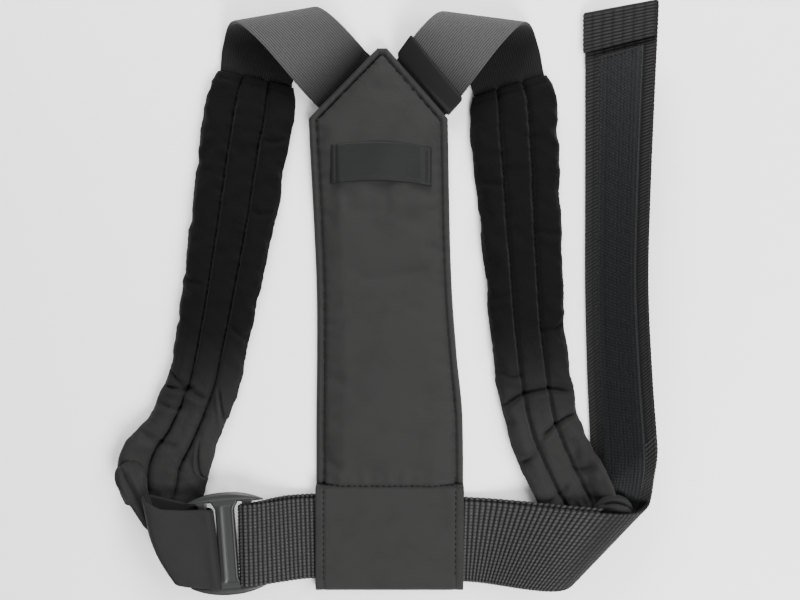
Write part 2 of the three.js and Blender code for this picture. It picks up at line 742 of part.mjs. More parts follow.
function makeBuckle() {
  const half = buckleLength / 2;
  const rail = new THREE.Shape();
  rail.moveTo(-half, slotHalf);
  rail.quadraticCurveTo(-half * railFullness, slotHalf + railDepth, 0, slotHalf + railDepth);
  rail.quadraticCurveTo(half * railFullness, slotHalf + railDepth, half, slotHalf);
  rail.closePath();
  const options = { depth: railThickness, bevelEnabled: false, curveSegments: 8 };
  const upperRail = new THREE.ExtrudeGeometry(rail, options);
  upperRail.translate(0, 0, -railThickness / 2);
  const lowerRail = upperRail.clone().rotateZ(Math.PI);
  const barLength = 2 * slotHalf + railDepth;
  const middleBar = new THREE.BoxGeometry(middleBarWidth, barLength, middleBarThickness);
  let solid = toSolid(upperRail).add(toSolid(lowerRail)).add(toSolid(middleBar));
  for (const side of [-1, 1]) {
    const bar = new THREE.CylinderGeometry(sideBarRadius, sideBarRadius, barLength, 12);
    bar.translate(side * barOffset, 0, 0);
    solid = solid.add(toSolid(bar));
  }
  const geometry = fromSolid(solid);
  geometry.rotateZ(buckleTurn);
  geometry.translate(buckleCentre.x, buckleCentre.y, buckleCentre.z);
  return geometry;
}

// The side band is one ring: round the buckle's left bar, out to the left over its crown,
// round its far fold, and back beneath. Its far fold slants, and it climbs as it goes left.
function bandGrid() {
  const wrap = sideBarRadius + wrapGap + bandThickness / 2;
  const columns = evenly(4, -bandWidth / 2, bandWidth / 2);
  const barU = -barOffset;
  const far = (across) => barU - bandLength - bandSlant * across / bandWidth;
  const crownHeight = bandCrown - bandThickness / 2;
  const backHeight = bandBackHeight - bandThickness / 2;
  const endRadius = (crownHeight - backHeight) / 2;
  const foldDepth = endRadius * bandFoldShare;
  const rows = [];
  const addRow = (make) => rows.push(columns.map((across) => {
    const [u, z] = make(across);
    return inBucklePlane(u, across - (u - barU) * bandClimb, z);
  }));
  for (const share of evenly(8)) {
    const angle = Math.PI * (share - 0.5);
    addRow(() => [barU + wrap * Math.cos(angle), buckleHeight + wrap * Math.sin(angle)]);
  }
  for (const share of evenly(7).slice(1)) {
    addRow((across) => [
      lerp(barU, far(across) + foldDepth, share),
      lerp(buckleHeight + wrap, crownHeight, smooth(share, 0, 1)),
    ]);
  }
  for (const share of evenly(8).slice(1)) {
    const angle = Math.PI * (0.5 + share);
    addRow((across) => [
      far(across) + foldDepth * (1 + Math.cos(angle)),
      backHeight + endRadius + endRadius * Math.sin(angle),
    ]);
  }
  for (const share of evenly(6).slice(1, -1)) {
    addRow((across) => [
      lerp(far(across) + foldDepth, barU, share),
      lerp(backHeight, buckleHeight - wrap, smooth(share, 0, 1)),
    ]);
  }
  return rows;
}

const leftPadTop = elasticEnd(leftElastic, leftElasticTail)
  .addScaledVector(heading(leftPadHeading), gap);
const rightPadTop = elasticEnd(rightElastic, rightElasticTail)
  .addScaledVector(heading(rightPadHeading), gap);

const corrector = new THREE.Group();
corrector.add(
  piece('back_panel', makePanel(), 0x444343, 0.95),
  piece('label_patch', makeLabel(), 0x26262a, 0.8),
  piece(
    'left_elastic',
    clothGeometry(elasticGrid(leftElastic, leftElasticTail), elasticThickness),
    0x58585a,
    0.8,
  ),
  piece(
    'right_elastic',
    clothGeometry(elasticGrid(rightElastic, rightElasticTail), elasticThickness),
    0x58585a,
    0.8,
  ),
  piece('elastic_keeper', makeKeeper(), 0x2b2b2d, 0.75),
  piece(
    'left_pad',
    makePad(leftPadStations, leftPadTop, leftPadHeading, leftPadReach, leftPadBearing, -1),
    0x1f1e1e,
    0.95,
  ),
  piece(
    'right_pad',
    makePad(rightPadStations, rightPadTop, rightPadHeading, rightPadReach, rightPadBearing, 1),
    0x1f1e1e,
    0.95,
  ),
  piece('belt_webbing', clothGeometry(beltGrid(), beltThickness), 0x3a3a3b, 0.85),
  piece('hook_tape', makeHookTape(), 0x2a2c30, 0.7),
  piece('side_band', clothGeometry(bandGrid(), bandThickness, true), 0x343436, 0.75),
  piece('slide_buckle', makeBuckle(), 0x1c1d1f, 0.35),
);

// The origin is the middle of the whole outline, on the surface that the object lies on.
const bounds = new THREE.Box3().setFromObject(corrector, true);
const middle = bounds.getCenter(vector(0, 0));
corrector.position.set(-middle.x, -middle.y, -bounds.min.z);

export default corrector;
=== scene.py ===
"""A posture corrector lying flat, outer face up: the looks of its cloth, webbing and buckle.

Sizes are millimetres in the corrector's own frame: X to the right, Y towards the neck, Z up,
with X = 0 and Y = 0 at the middle of the back panel's foot. They become metres in make().
"""
import math

import bpy
import numpy as np
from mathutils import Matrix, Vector, kdtree


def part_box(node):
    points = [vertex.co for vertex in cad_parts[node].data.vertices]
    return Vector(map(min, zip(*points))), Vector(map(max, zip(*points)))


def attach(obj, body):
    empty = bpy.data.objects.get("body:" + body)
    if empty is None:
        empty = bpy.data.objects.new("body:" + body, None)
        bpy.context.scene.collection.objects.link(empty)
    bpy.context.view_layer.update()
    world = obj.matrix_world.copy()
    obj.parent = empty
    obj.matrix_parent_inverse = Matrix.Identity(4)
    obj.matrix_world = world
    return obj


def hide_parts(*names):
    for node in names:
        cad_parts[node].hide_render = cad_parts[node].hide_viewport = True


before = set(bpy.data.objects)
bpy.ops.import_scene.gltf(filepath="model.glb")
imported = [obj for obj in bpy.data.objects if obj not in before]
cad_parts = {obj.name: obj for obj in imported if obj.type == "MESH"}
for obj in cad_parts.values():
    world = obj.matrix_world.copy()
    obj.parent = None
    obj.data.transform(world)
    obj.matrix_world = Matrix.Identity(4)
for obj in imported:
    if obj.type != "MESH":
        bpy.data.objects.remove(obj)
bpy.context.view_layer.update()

MM = 0.001

# Gaps between pieces
GAP = 0.3
LAYER_GAP = 0.5
WRAP_GAP = 0.5

# Back panel
PANEL_WIDTH = 92.0
PANEL_LENGTH = 294.0
GABLE_HEIGHT = 44.0
GABLE_TIP_WIDTH = 6.0
PANEL_LEAN = 7.0
PANEL_THICKNESS = 10.0
HEM_THICKNESS = 4.0
HEM_ROLL = 1.1
STITCH_INSET = 5.0
PANEL_BACKING = 2.2

# Belt and its tunnel
BELT_WIDTH = 50.0
BELT_THICKNESS = 2.2
TUNNEL_WALL = 3.6
TUNNEL_EASE = 3.2
TUNNEL_HEAD = 5.0
BELT_SLOPE_AT_BUCKLE = 0.075
BELT_SLOPE_AT_TURN = -0.038
MOUTH_EASE = 2.0
REAR_STOP = 7.0

# Slide buckle
BUCKLE_REACH = 53.8
BUCKLE_HEIGHT = 15.0
BUCKLE_LENGTH = 48.5
SLOT_EASE = 2.0
RAIL_DEPTH = 5.6
RAIL_THICKNESS = 5.0
MIDDLE_BAR_WIDTH = 10.8
MIDDLE_BAR_THICKNESS = 3.6
SIDE_BAR_RADIUS = 2.6
WEBBING_SLOT = 3.0

# Side band
BAND_WIDTH = 46.0
BAND_THICKNESS = 2.0
BAND_LENGTH = 29.0
BAND_SLANT = 17.0
BAND_CLIMB = 0.24
BAND_CROWN = 28.0
BAND_BACK_HEIGHT = 10.5

# Elastics and the keeper
ELASTIC_WIDTH = 46.0
ELASTIC_THICKNESS = 1.8
ELASTIC_INSERT = 10.0
ELASTIC_ROLL = 11.0
ELASTIC_REST_HEIGHT = 2.6
KEEPER_WIDTH = 12.6
KEEPER_WALL = 1.2
KEEPER_STAND_OFF = 1.9
KEEPER_SLANT = 0.082
KEEPER_EASE = 1.2
ELASTIC_STAND_OFF = 3.0

# Arm pads
PAD_WIDTH = 54.0
PAD_THICKNESS = 11.0
PAD_CHANNEL_DIP = 0.3

# Turn of the belt and the free strap
TURN_REACH = 71.0
TURN_AXIS = 49.0
TURN_RADIUS_LOW = 11.0
TURN_RADIUS_HIGH = 13.5
STRAP_LENGTH = 310.0
STRAP_OUTSET = 126.5
STRAP_HEM = 24.0
HOOK_TAPE_WIDTH = 31.0
HOOK_TAPE_THICKNESS = 1.2
HOOK_TAPE_SHIFT = 1.5

# Label
LABEL_WIDTH = 62.5
LABEL_HEIGHT = 24.0
LABEL_THICKNESS = 1.0
LABEL_DROP = 29.0
LABEL_SHIFT = 0.9
LABEL_ARCH = 2.6

# Share of the panel's length up from its foot, width and sideways lean as shares.
PANEL_OUTLINE = np.array([
    (0.0, 1.0, 0.0), (0.36, 1.0, 0.0), (0.5, 0.955, -0.24),
    (0.64, 0.925, -0.47), (0.8, 0.93, -0.72), (1.0, 0.945, -1.0),
])

# Share of the strap's length from the turn, inset as a share of the belt's width, tilt in degrees.
STRAP_STATIONS = np.array([
    (0.0, 0.0, 44), (0.12, 0.0, 47), (0.28, 0.04, 50), (0.45, 0.065, 52),
    (0.62, 0.065, 50), (0.82, 0.065, 45), (1.0, 0.065, 39),
])

# Share along a pad, bow as a share of its reach, then width, thickness, lift and curl as shares.
LEFT_PAD_STATIONS = np.array([
    (0.0, 0.0, 0.9, 0.55, 0.0, 0.0), (0.03, 0.001, 1.0, 0.85, 0.0, 0.0),
    (0.1, 0.006, 1.06, 1.0, 0.0, 0.0), (0.17, 0.009, 1.03, 1.0, 0.0, 0.0),
    (0.31, 0.02, 0.99, 1.0, 0.0, 0.0), (0.41, 0.026, 0.95, 1.0, 0.0, 0.0),
    (0.51, 0.031, 0.9, 1.0, 0.0, 0.0), (0.61, 0.035, 0.86, 1.05, 0.0, 0.0),
    (0.71, 0.034, 0.86, 0.92, 0.0, 0.0), (0.82, 0.016, 0.9, 1.05, 0.0, 0.1),
    (0.89, -0.006, 1.03, 0.95, 0.0, 0.5), (0.95, -0.004, 0.98, 0.7, 0.0, 0.5),
    (1.0, 0.0, 0.8, 0.55, 0.0, 0.1),
])
RIGHT_PAD_STATIONS = np.array([
    (0.0, 0.0, 0.9, 0.55, 0.0, 0.0), (0.03, 0.001, 1.0, 0.85, 0.0, 0.0),
    (0.1, -0.006, 1.03, 1.0, 0.0, 0.0), (0.17, -0.013, 1.0, 1.0, 0.0, 0.0),
    (0.31, -0.029, 0.95, 1.0, 0.0, 0.0), (0.4, -0.038, 0.91, 1.0, 0.0, 0.0),
    (0.5, -0.048, 0.88, 1.0, 0.0, 0.0), (0.6, -0.056, 0.88, 1.05, 0.0, 0.0),
    (0.7, -0.059, 0.88, 0.92, 0.0, 0.0), (0.77, -0.058, 0.86, 1.05, 0.0, 0.0),
    (0.84, -0.044, 0.87, 0.95, 0.0, 0.35), (0.9, -0.028, 0.86, 0.8, 0.35, 0.9),
    (0.96, -0.01, 0.84, 0.6, 0.6, 0.9), (1.0, 0.0, 0.76, 0.5, 0.65, 0.8),
])

# Place across a pad as a share of its half width, and height as a share of its thickness.
PAD_TOP_PROFILE = np.array([
    (-1.0, 0.45), (-0.9, 0.8), (-0.66, 1.0), (-0.42, 0.95), (-0.333, 1 - PAD_CHANNEL_DIP),
    (-0.24, 0.96), (0.0, 1.0), (0.24, 0.96), (0.333, 1 - PAD_CHANNEL_DIP), (0.42, 0.95),
    (0.66, 1.0), (0.9, 0.8), (1.0, 0.45),
])


def heading(degrees):
    """Unit direction on the surface."""
    angle = math.radians(degrees)
    return np.array([math.cos(angle), math.sin(angle), 0.0])


def left_of(direction):
    """The direction a quarter turn to the left."""
    return np.array([-direction[1], direction[0], 0.0])


def lerp(a, b, share):
    return a + (b - a) * share


def smooth(value, low, high):
    """0 below low, 1 above high, and a soft step between."""
    t = np.clip((value - low) / (high - low), 0, 1)
    return t * t * (3 - 2 * t)


def curve(knots, values, at):
    """Values at places between the knots, on a smooth curve through them all."""
    knots = np.asarray(knots, float)
    values = np.asarray(values, float)
    deep = (slice(None),) + (None,) * (values.ndim - 1)
    slopes = np.empty_like(values)
    slopes[0] = (values[1] - values[0]) / (knots[1] - knots[0])
    slopes[-1] = (values[-1] - values[-2]) / (knots[-1] - knots[-2])
    slopes[1:-1] = (values[2:] - values[:-2]) / (knots[2:] - knots[:-2])[deep]
    flat = np.atleast_1d(np.asarray(at, float)).ravel()
    row = np.clip(np.searchsorted(knots, flat, side="right") - 1, 0, len(knots) - 2)
    span = (knots[row + 1] - knots[row])[deep]
    t = np.clip((flat - knots[row])[deep] / span, 0, 1)
    found = (
        (2 * t**3 - 3 * t**2 + 1) * values[row]
        + (t**3 - 2 * t**2 + t) * span * slopes[row]
        + (3 * t**2 - 2 * t**3) * values[row + 1]
        + (t**3 - t**2) * span * slopes[row + 1]
    )
    return found.reshape(np.shape(at) + values.shape[1:])


def column(table, number, at):
    """One column of a table at places between its rows."""
    return curve(table[:, 0], table[:, number], at)


def refine(grid, row_pitch, columns):
    """The same surface on an even, finer grid, with rows row_pitch apart down its middle."""
    old_columns = grid.shape[1]
    steps = np.linalg.norm(np.diff(grid[:, old_columns // 2], axis=0), axis=1)
    distance = np.concatenate([[0], np.cumsum(steps)])
    count = int(distance[-1] / row_pitch) + 1
    fine = curve(distance, grid, np.linspace(0, distance[-1], count))
    turned = curve(np.arange(old_columns), fine.swapaxes(0, 1), np.linspace(0, old_columns - 1, columns))
    return turned.swapaxes(0, 1)


def row_lengths(grid):
    """Distance along the middle of a grid to each of its rows."""
    steps = np.linalg.norm(np.diff(grid[:, grid.shape[1] // 2], axis=0), axis=1)
    return np.concatenate([[0], np.cumsum(steps)])


def normals(grid, looped=False):
    """Unit normal at every point of a grid."""
    if looped:
        along = np.roll(grid, -1, axis=0) - np.roll(grid, 1, axis=0)
    else:
        along = np.gradient(grid, axis=0)
    found = np.cross(along, np.gradient(grid, axis=1))
    return found / np.maximum(np.linalg.norm(found, axis=2, keepdims=True), 1e-9)


def slab(upper, lower, looped=False):
    """Points and faces of a closed body between two grids of points."""
    rows, columns = upper.shape[:2]
    count = rows * columns
    index = np.arange(count).reshape(rows, columns)
    if looped:
        index = np.vstack([index, index[:1]])
    a, b, c, d = index[:-1, :-1], index[1:, :-1], index[1:, 1:], index[:-1, 1:]
    faces = [
        np.stack([a, b, c, d], -1).reshape(-1, 4),
        np.stack([a, d, c, b], -1).reshape(-1, 4) + count,
    ]
    low, high = index[:, 0], index[:, -1]
    faces.append(np.stack([low[1:], low[:-1], low[:-1] + count, low[1:] + count], -1))
    faces.append(np.stack([high[:-1], high[1:], high[1:] + count, high[:-1] + count], -1))
    if not looped:
        start, end = index[0], index[-1]
        faces.append(np.stack([start[:-1], start[1:], start[1:] + count, start[:-1] + count], -1))
        faces.append(np.stack([end[1:], end[:-1], end[:-1] + count, end[1:] + count], -1))
    points = np.concatenate([upper.reshape(-1, 3), lower.reshape(-1, 3)])
    return points, np.concatenate(faces)


def edge_fade(columns, width, radius):
    """How much of its thickness a strap keeps at each column, so that its edges are round."""
    place = np.abs(np.linspace(-1, 1, columns)) * width / 2
    beyond = np.clip((place - (width / 2 - radius)) / radius, 0, 1)
    return np.sqrt(np.clip(1 - beyond**2, 0.08, 1))


def strap_slab(grid, thickness, raised=0.0, looped=False):
    """A strap of even thickness about a middle surface; raised lifts its upper face."""
    width = np.linalg.norm(grid[0, -1] - grid[0, 0])
    fade = edge_fade(grid.shape[1], width, thickness * 0.6)[None, :, None]
    out = normals(grid, looped)
    relief = np.broadcast_to(np.asarray(raised, float), grid.shape[:2])[:, :, None]
    upper = grid + out * (thickness / 2 + relief) * fade
    lower = grid - out * thickness / 2 * fade
    return slab(upper, lower, looped)


def strap_uv(grid):
    """Place across and along a strap in millimetres, for both of its faces."""
    width = np.linalg.norm(grid[0, -1] - grid[0, 0])
    across = np.broadcast_to(np.linspace(0, width, grid.shape[1])[None, :], grid.shape[:2])
    along = np.broadcast_to(row_lengths(grid)[:, None], grid.shape[:2])
    return np.tile(np.stack([across, along], -1).reshape(-1, 2), (2, 1))


panel_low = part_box("back_panel")[0]
PANEL_SHIFT = np.array([
    panel_low[0] / MM + PANEL_LEAN + PANEL_WIDTH * PANEL_OUTLINE[-1, 1] / 2,
    panel_low[1] / MM,
    0.0,
])


def make(name, points, faces, material, uv=None):
    """A smooth mesh object from points in the corrector's own frame."""
    mesh = bpy.data.meshes.new(name)
    mesh.from_pydata(((np.asarray(points) + PANEL_SHIFT) * MM).tolist(), [], [list(f) for f in faces])
    mesh.polygons.foreach_set("use_smooth", [True] * len(mesh.polygons))
    if uv is not None:
        corners = np.empty(len(mesh.loops), dtype=np.int32)
        mesh.loops.foreach_get("vertex_index", corners)
        layer = mesh.uv_layers.new(name="millimetres")
        layer.data.foreach_set("uv", np.asarray(uv, float)[corners].ravel())
    mesh.materials.append(material)
    mesh.update()
    obj = bpy.data.objects.new(name, mesh)
    bpy.context.scene.collection.objects.link(obj)
    return obj


def put(obj, slot_name, *nodes):
    """The piece rides with the corrector and stands for its CAD nodes; slot_name is not used."""
    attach(obj, "root")
    if nodes:
        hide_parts(*nodes)
    return obj


# Node groups shared by the fabrics


class Group:
    """A shader node group with named sockets and a few wiring helpers."""

    def __init__(self, name, inputs, outputs):
        self.tree = bpy.data.node_groups.new(name, "ShaderNodeTree")
        for label, kind in inputs:
            self.tree.interface.new_socket(label, in_out="INPUT", socket_type=kind)
        for label, kind in outputs:
            self.tree.interface.new_socket(label, in_out="OUTPUT", socket_type=kind)
        self.given = self.tree.nodes.new("NodeGroupInput").outputs
        self.result = self.tree.nodes.new("NodeGroupOutput").inputs

    def fill(self, socket, value):
        """Links an output to a socket, or writes a plain value into it."""
        if isinstance(value, bpy.types.NodeSocket):
            self.tree.links.new(value, socket)
        else:
            socket.default_value = value

    def math(self, operation, a, b=0.0, c=0.0):
        node = self.tree.nodes.new("ShaderNodeMath")
        node.operation = operation
        for socket, value in zip(node.inputs, (a, b, c)):
            self.fill(socket, value)
        return node.outputs[0]

    def noise(self, vector, scale, detail=2.0, roughness=0.5):
        node = self.tree.nodes.new("ShaderNodeTexNoise")
        self.fill(node.inputs["Vector"], vector)
        self.fill(node.inputs["Scale"], scale)
        node.inputs["Detail"].default_value = detail
        node.inputs["Roughness"].default_value = roughness
        return node.outputs["Fac"]

    def split(self, vector):
        node = self.tree.nodes.new("ShaderNodeSeparateXYZ")
        self.fill(node.inputs[0], vector)
        return node.outputs


def fibre_grain():
    """Brushed microfibre: fine fuzz, and a slow mottle where the nap lies differently."""
    group = Group(
        "fibre_grain",
        [("Vector", "NodeSocketVector")],
        [("Height", "NodeSocketFloat"), ("Tone", "NodeSocketFloat")],
    )
    vector = group.given["Vector"]
    fuzz = group.noise(vector, 1500.0, 3.0, 0.7)
    nap = group.noise(vector, 55.0, 4.0, 0.6)
    speck = group.noise(vector, 600.0, 2.0, 0.6)
    group.fill(group.result["Height"], group.math("MULTIPLY_ADD", speck, 0.6, fuzz))
    slow = group.math("MULTIPLY_ADD", nap, 0.9, 0.15)
    group.fill(group.result["Tone"], group.math("MULTIPLY_ADD", fuzz, 0.8, slow))
    return group.tree


def waves(group, along, pitch):
    """Rounded ridges: 1 on each ridge and 0 in each furrow."""
    turned = group.math("MULTIPLY", along, math.pi / pitch)
    return group.math("ABSOLUTE", group.math("SINE", turned))


def bead_weave():
    """Coarse webbing: dark furrows between beads, with fine threads lying over each bead."""
    group = Group(
        "bead_weave",
        [
            ("Vector", "NodeSocketVector"),
            ("Along Pitch", "NodeSocketFloat"),
            ("Across Pitch", "NodeSocketFloat"),
        ],
        [("Height", "NodeSocketFloat"), ("Bead", "NodeSocketFloat")],
    )
    axes = group.split(group.given["Vector"])
    along = waves(group, group.math("DIVIDE", axes["Y"], group.given["Along Pitch"]), 1.0)
    across = waves(group, group.math("DIVIDE", axes["X"], group.given["Across Pitch"]), 1.0)
    columns = group.math("POWER", along, 1.4)
    bead = group.math("MULTIPLY", group.math("POWER", across, 0.35), columns)
    threads = group.math("SINE", group.math("MULTIPLY", axes["X"], 17.0))
    uneven = group.noise(group.given["Vector"], 0.35, 3.0, 0.7)
    group.fill(group.result["Bead"], group.math("MULTIPLY", bead, group.math("ADD", uneven, 0.5)))
    group.fill(group.result["Height"], group.math("MULTIPLY_ADD", threads, 0.12, bead))
    return group.tree


def rib_weave():
    """Woven elastic or tape: lengthwise ribs crossed by fine weft threads."""
    group = Group(
        "rib_weave",
        [
            ("Vector", "NodeSocketVector"),
            ("Rib Pitch", "NodeSocketFloat"),
            ("Weft Pitch", "NodeSocketFloat"),
        ],
        [("Height", "NodeSocketFloat"), ("Rib", "NodeSocketFloat")],
    )
    axes = group.split(group.given["Vector"])
    ribs = waves(group, group.math("DIVIDE", axes["X"], group.given["Rib Pitch"]), 1.0)
    weft = waves(group, group.math("DIVIDE", axes["Y"], group.given["Weft Pitch"]), 1.0)
    uneven = group.noise(group.given["Vector"], 0.5, 3.0, 0.6)
    group.fill(group.result["Height"], group.math("MULTIPLY_ADD", weft, 0.35, ribs))
    shade = group.math("MULTIPLY_ADD", ribs, 0.6, group.math("MULTIPLY", weft, 0.25))
    group.fill(group.result["Rib"], group.math("MULTIPLY_ADD", uneven, 0.4, shade))
    return group.tree


def hook_rows():
    """Hook tape: herringbone rows of small hooks on a plain ground."""
    group = Group(
        "hook_rows",
        [("Vector", "NodeSocketVector")],
        [("Height", "NodeSocketFloat"), ("Hooks", "NodeSocketFloat")],
    )
    axes = group.split(group.given["Vector"])
    zigzag = group.math("PINGPONG", axes["X"], 1.6)
    rows = group.math("FRACT", group.math("DIVIDE", group.math("ADD", axes["Y"], zigzag), 1.9))
    ends = waves(group, axes["X"], 0.8)
    hooks = group.math("MULTIPLY", group.math("POWER", rows, 1.6), ends)
    worn = group.noise(group.given["Vector"], 0.22, 3.0, 0.65)
    group.fill(group.result["Height"], hooks)
    group.fill(group.result["Hooks"], group.math("MULTIPLY", hooks, group.math("ADD", worn, 0.4)))
    return group.tree


GRAIN = fibre_grain()
BEADS = bead_weave()
RIBS = rib_weave()
HOOKS = hook_rows()

FINE_SIDE = (0.867, -0.499, 0.0)
BEAD_ALONG = 2.8
BEAD_ACROSS = 2.1
RIB_PITCH = 1.4


class Finish:
    """A material with one shader, fed by the shared groups."""

    def __init__(self, name, roughness, sheen=0.0, specular=0.3, coat=0.0):
        self.material = bpy.data.materials.new(name)
        self.material.use_nodes = True
        self.tree = self.material.node_tree
        self.shader = self.tree.nodes["Principled BSDF"]
        self.shader.inputs["Roughness"].default_value = roughness
        self.shader.inputs["Specular IOR Level"].default_value = specular
        self.shader.inputs["Sheen Weight"].default_value = sheen
        self.shader.inputs["Sheen Roughness"].default_value = 0.45
        self.shader.inputs["Coat Weight"].default_value = coat
        self.shader.inputs["Coat Roughness"].default_value = 0.2
        self.coordinates = self.tree.nodes.new("ShaderNodeTexCoord").outputs

    def use(self, tree, **values):
        """A node of a shared group; names with _ stand for socket names with spaces."""
        node = self.tree.nodes.new("ShaderNodeGroup")
        node.node_tree = tree
        for label, value in values.items():
            socket = node.inputs[label.replace("_", " ")]
            if isinstance(value, bpy.types.NodeSocket):
                self.tree.links.new(value, socket)
            else:
                socket.default_value = value
        return node.outputs

    def blend(self, factor, first, second):
        """Colour between two, each a tone or a socket, by a mask."""
        node = self.tree.nodes.new("ShaderNodeMix")
        node.data_type = "RGBA"
        self.tree.links.new(factor, node.inputs[0])
        for socket, value in ((node.inputs[6], first), (node.inputs[7], second)):
            if isinstance(value, bpy.types.NodeSocket):
                self.tree.links.new(value, socket)
            else:
                socket.default_value = (*value, 1)
        return node.outputs[2]

    def tint(self, factor, dark, light, fade=None, start=None):
        """Base colour between two tones by a mask. fade is (direction, from, to), in millimetres
        along that direction, over which a start, a pair of tones, gives way to them. On the pads
        and the elastics this fade is painted shade and painted highlight."""
        colour = self.blend(factor, dark, light)
        if fade:
            reach = self.tree.nodes.new("ShaderNodeVectorMath")
            reach.operation = "DOT_PRODUCT"
            reach.inputs[1].default_value = fade[0]
            self.tree.links.new(self.coordinates["Object"], reach.inputs[0])
            ramp = self.tree.nodes.new("ShaderNodeMapRange")
            ramp.interpolation_type = "SMOOTHSTEP"
            self.tree.links.new(reach.outputs["Value"], ramp.inputs["Value"])
            ramp.inputs["From Min"].default_value = fade[1] * MM
            ramp.inputs["From Max"].default_value = fade[2] * MM
            colour = self.blend(ramp.outputs["Result"], self.blend(factor, *start), colour)
        self.tree.links.new(colour, self.shader.inputs["Base Color"])
        return self

    def bump(self, height, distance, strength=1.0):
        """Surface relief, with its depth in millimetres."""
        node = self.tree.nodes.new("ShaderNodeBump")
        node.inputs["Distance"].default_value = distance * MM
        node.inputs["Strength"].default_value = strength
        self.tree.links.new(height, node.inputs["Height"])
        self.tree.links.new(node.outputs["Normal"], self.shader.inputs["Normal"])
        return self


def grey(value, warmth=0.0):
    """A grey of one value, slightly warm or, below zero, slightly blue."""
    return (value * (1 + warmth), value, value * (1 - warmth))


def microfibre(name, dark, light, relief, fade=None, start=None):
    finish = Finish(name, 0.95, sheen=0.03, specular=0.08)
    grain = finish.use(GRAIN, Vector=finish.coordinates["Object"])
    finish.tint(grain["Tone"], dark, light, fade, start)
    finish.bump(grain["Height"], relief, 0.5)
    return finish.material


def tape(name, dark, light, rib, weft, relief, roughness=0.75, fade=None, start=None):
    finish = Finish(name, roughness, sheen=0.03, specular=0.15)
    ribs = finish.use(RIBS, Vector=finish.coordinates["UV"], Rib_Pitch=rib, Weft_Pitch=weft)
    finish.tint(ribs["Rib"], dark, light, fade, start)
    finish.bump(ribs["Height"], relief, 0.8)
    return finish.material


def webbing(name, dark, light, along, across, fade=None, start=None):
    finish = Finish(name, 0.65, sheen=0.0, specular=0.12)
    beads = finish.use(
        BEADS,
        Vector=finish.coordinates["UV"],
        Along_Pitch=along,
        Across_Pitch=across,
    )
    finish.tint(beads["Bead"], dark, light, fade, start)
    finish.bump(beads["Height"], 0.5, 0.7)
    return finish.material


def hook_finish(name, dark, light):
    finish = Finish(name, 0.6, sheen=0.0, specular=0.2)
    hooks = finish.use(HOOKS, Vector=finish.coordinates["UV"])
    finish.tint(hooks["Hooks"], dark, light)
    finish.bump(hooks["Height"], 0.5, 0.8)
    return finish.material


def moulded(name, dark, light):
    finish = Finish(name, 0.46, specular=0.4, coat=0.05)
    grain = finish.use(GRAIN, Vector=finish.coordinates["Object"])
    finish.tint(grain["Tone"], dark, light)
    finish.bump(grain["Height"], 0.02, 0.3)
    return finish.material


PANEL_FABRIC = microfibre("panel_fabric", grey(0.007, 0.01), grey(0.0185, 0.01), 0.12)
# Painted shade: the pads' colour darkens to the start tones towards their shoulder ends, where less light
# falls.
PAD_FABRIC = microfibre(
    "pad_fabric", grey(0.005, 0.01), grey(0.0145, 0.01), 0.12,
    ((0, -1, 0), 10.0, 90.0), (grey(0.0007, 0.01), grey(0.0022, 0.01)),
)
# Painted highlight and shade: the elastics grow lighter with height, brightest over the top of the roll and
# darkest where they lie low by the panel.
ELASTIC = tape(
    "elastic_rib", grey(0.008), grey(0.055), RIB_PITCH, 0.9, 0.3,
    fade=((0, 0, 1), 3.0, 23.0), start=(grey(0.0005), grey(0.003)),
)
KEEPER_TAPE = tape("keeper_tape", grey(0.003), grey(0.009), 0.8, 0.8, 0.08)
BAND_TAPE = tape("band_tape", grey(0.004), grey(0.010), 0.7, 0.7, 0.1)
LABEL_SATIN = tape("label_satin", grey(0.0025, -0.03), grey(0.007, -0.03), 0.5, 0.5, 0.05, 0.6)
BELT_WEAVE = webbing(
    "belt_weave", grey(0.003), grey(0.019), BEAD_ALONG, BEAD_ACROSS,
    (FINE_SIDE, 172.0, 186.0), (grey(0.001), grey(0.040)),
)
STRAP_WEAVE = webbing("strap_weave", grey(0.0008), grey(0.021), 2.05, 7.2)
HOOK_FINISH = hook_finish("hook_finish", grey(0.003, -0.1), grey(0.019, -0.1))
NYLON = moulded("buckle_nylon", grey(0.005, -0.03), grey(0.009, -0.03))
PANEL_THREAD = tape("panel_thread", grey(0.002), grey(0.005), 0.5, 0.5, 0.05)
PAD_THREAD = tape("pad_thread", grey(0.001), grey(0.003), 0.5, 0.5, 0.05)


# Heights and places that the pieces share
REAR_BELT_HEIGHT = PANEL_BACKING + GAP + BELT_THICKNESS / 2
FRONT_BELT_HEIGHT = REAR_BELT_HEIGHT + BELT_THICKNESS + LAYER_GAP
TUNNEL_TOP = FRONT_BELT_HEIGHT + BELT_THICKNESS / 2 + GAP
TUNNEL_DEPTH = BELT_WIDTH + 2 * TUNNEL_EASE
TUNNEL_SEAM = TUNNEL_WALL + TUNNEL_DEPTH + TUNNEL_HEAD
BELT_MIDDLE = TUNNEL_WALL + TUNNEL_EASE + BELT_WIDTH / 2
FOOT_THICKNESS = max(PANEL_THICKNESS, TUNNEL_TOP + PANEL_BACKING)
GABLE_LIFT = ELASTIC_THICKNESS + KEEPER_WALL + 3 * GAP + 1.6
ELASTIC_HEIGHT = GABLE_LIFT - GAP - ELASTIC_THICKNESS / 2
GABLE_TIP_X = -PANEL_LEAN * 0.65


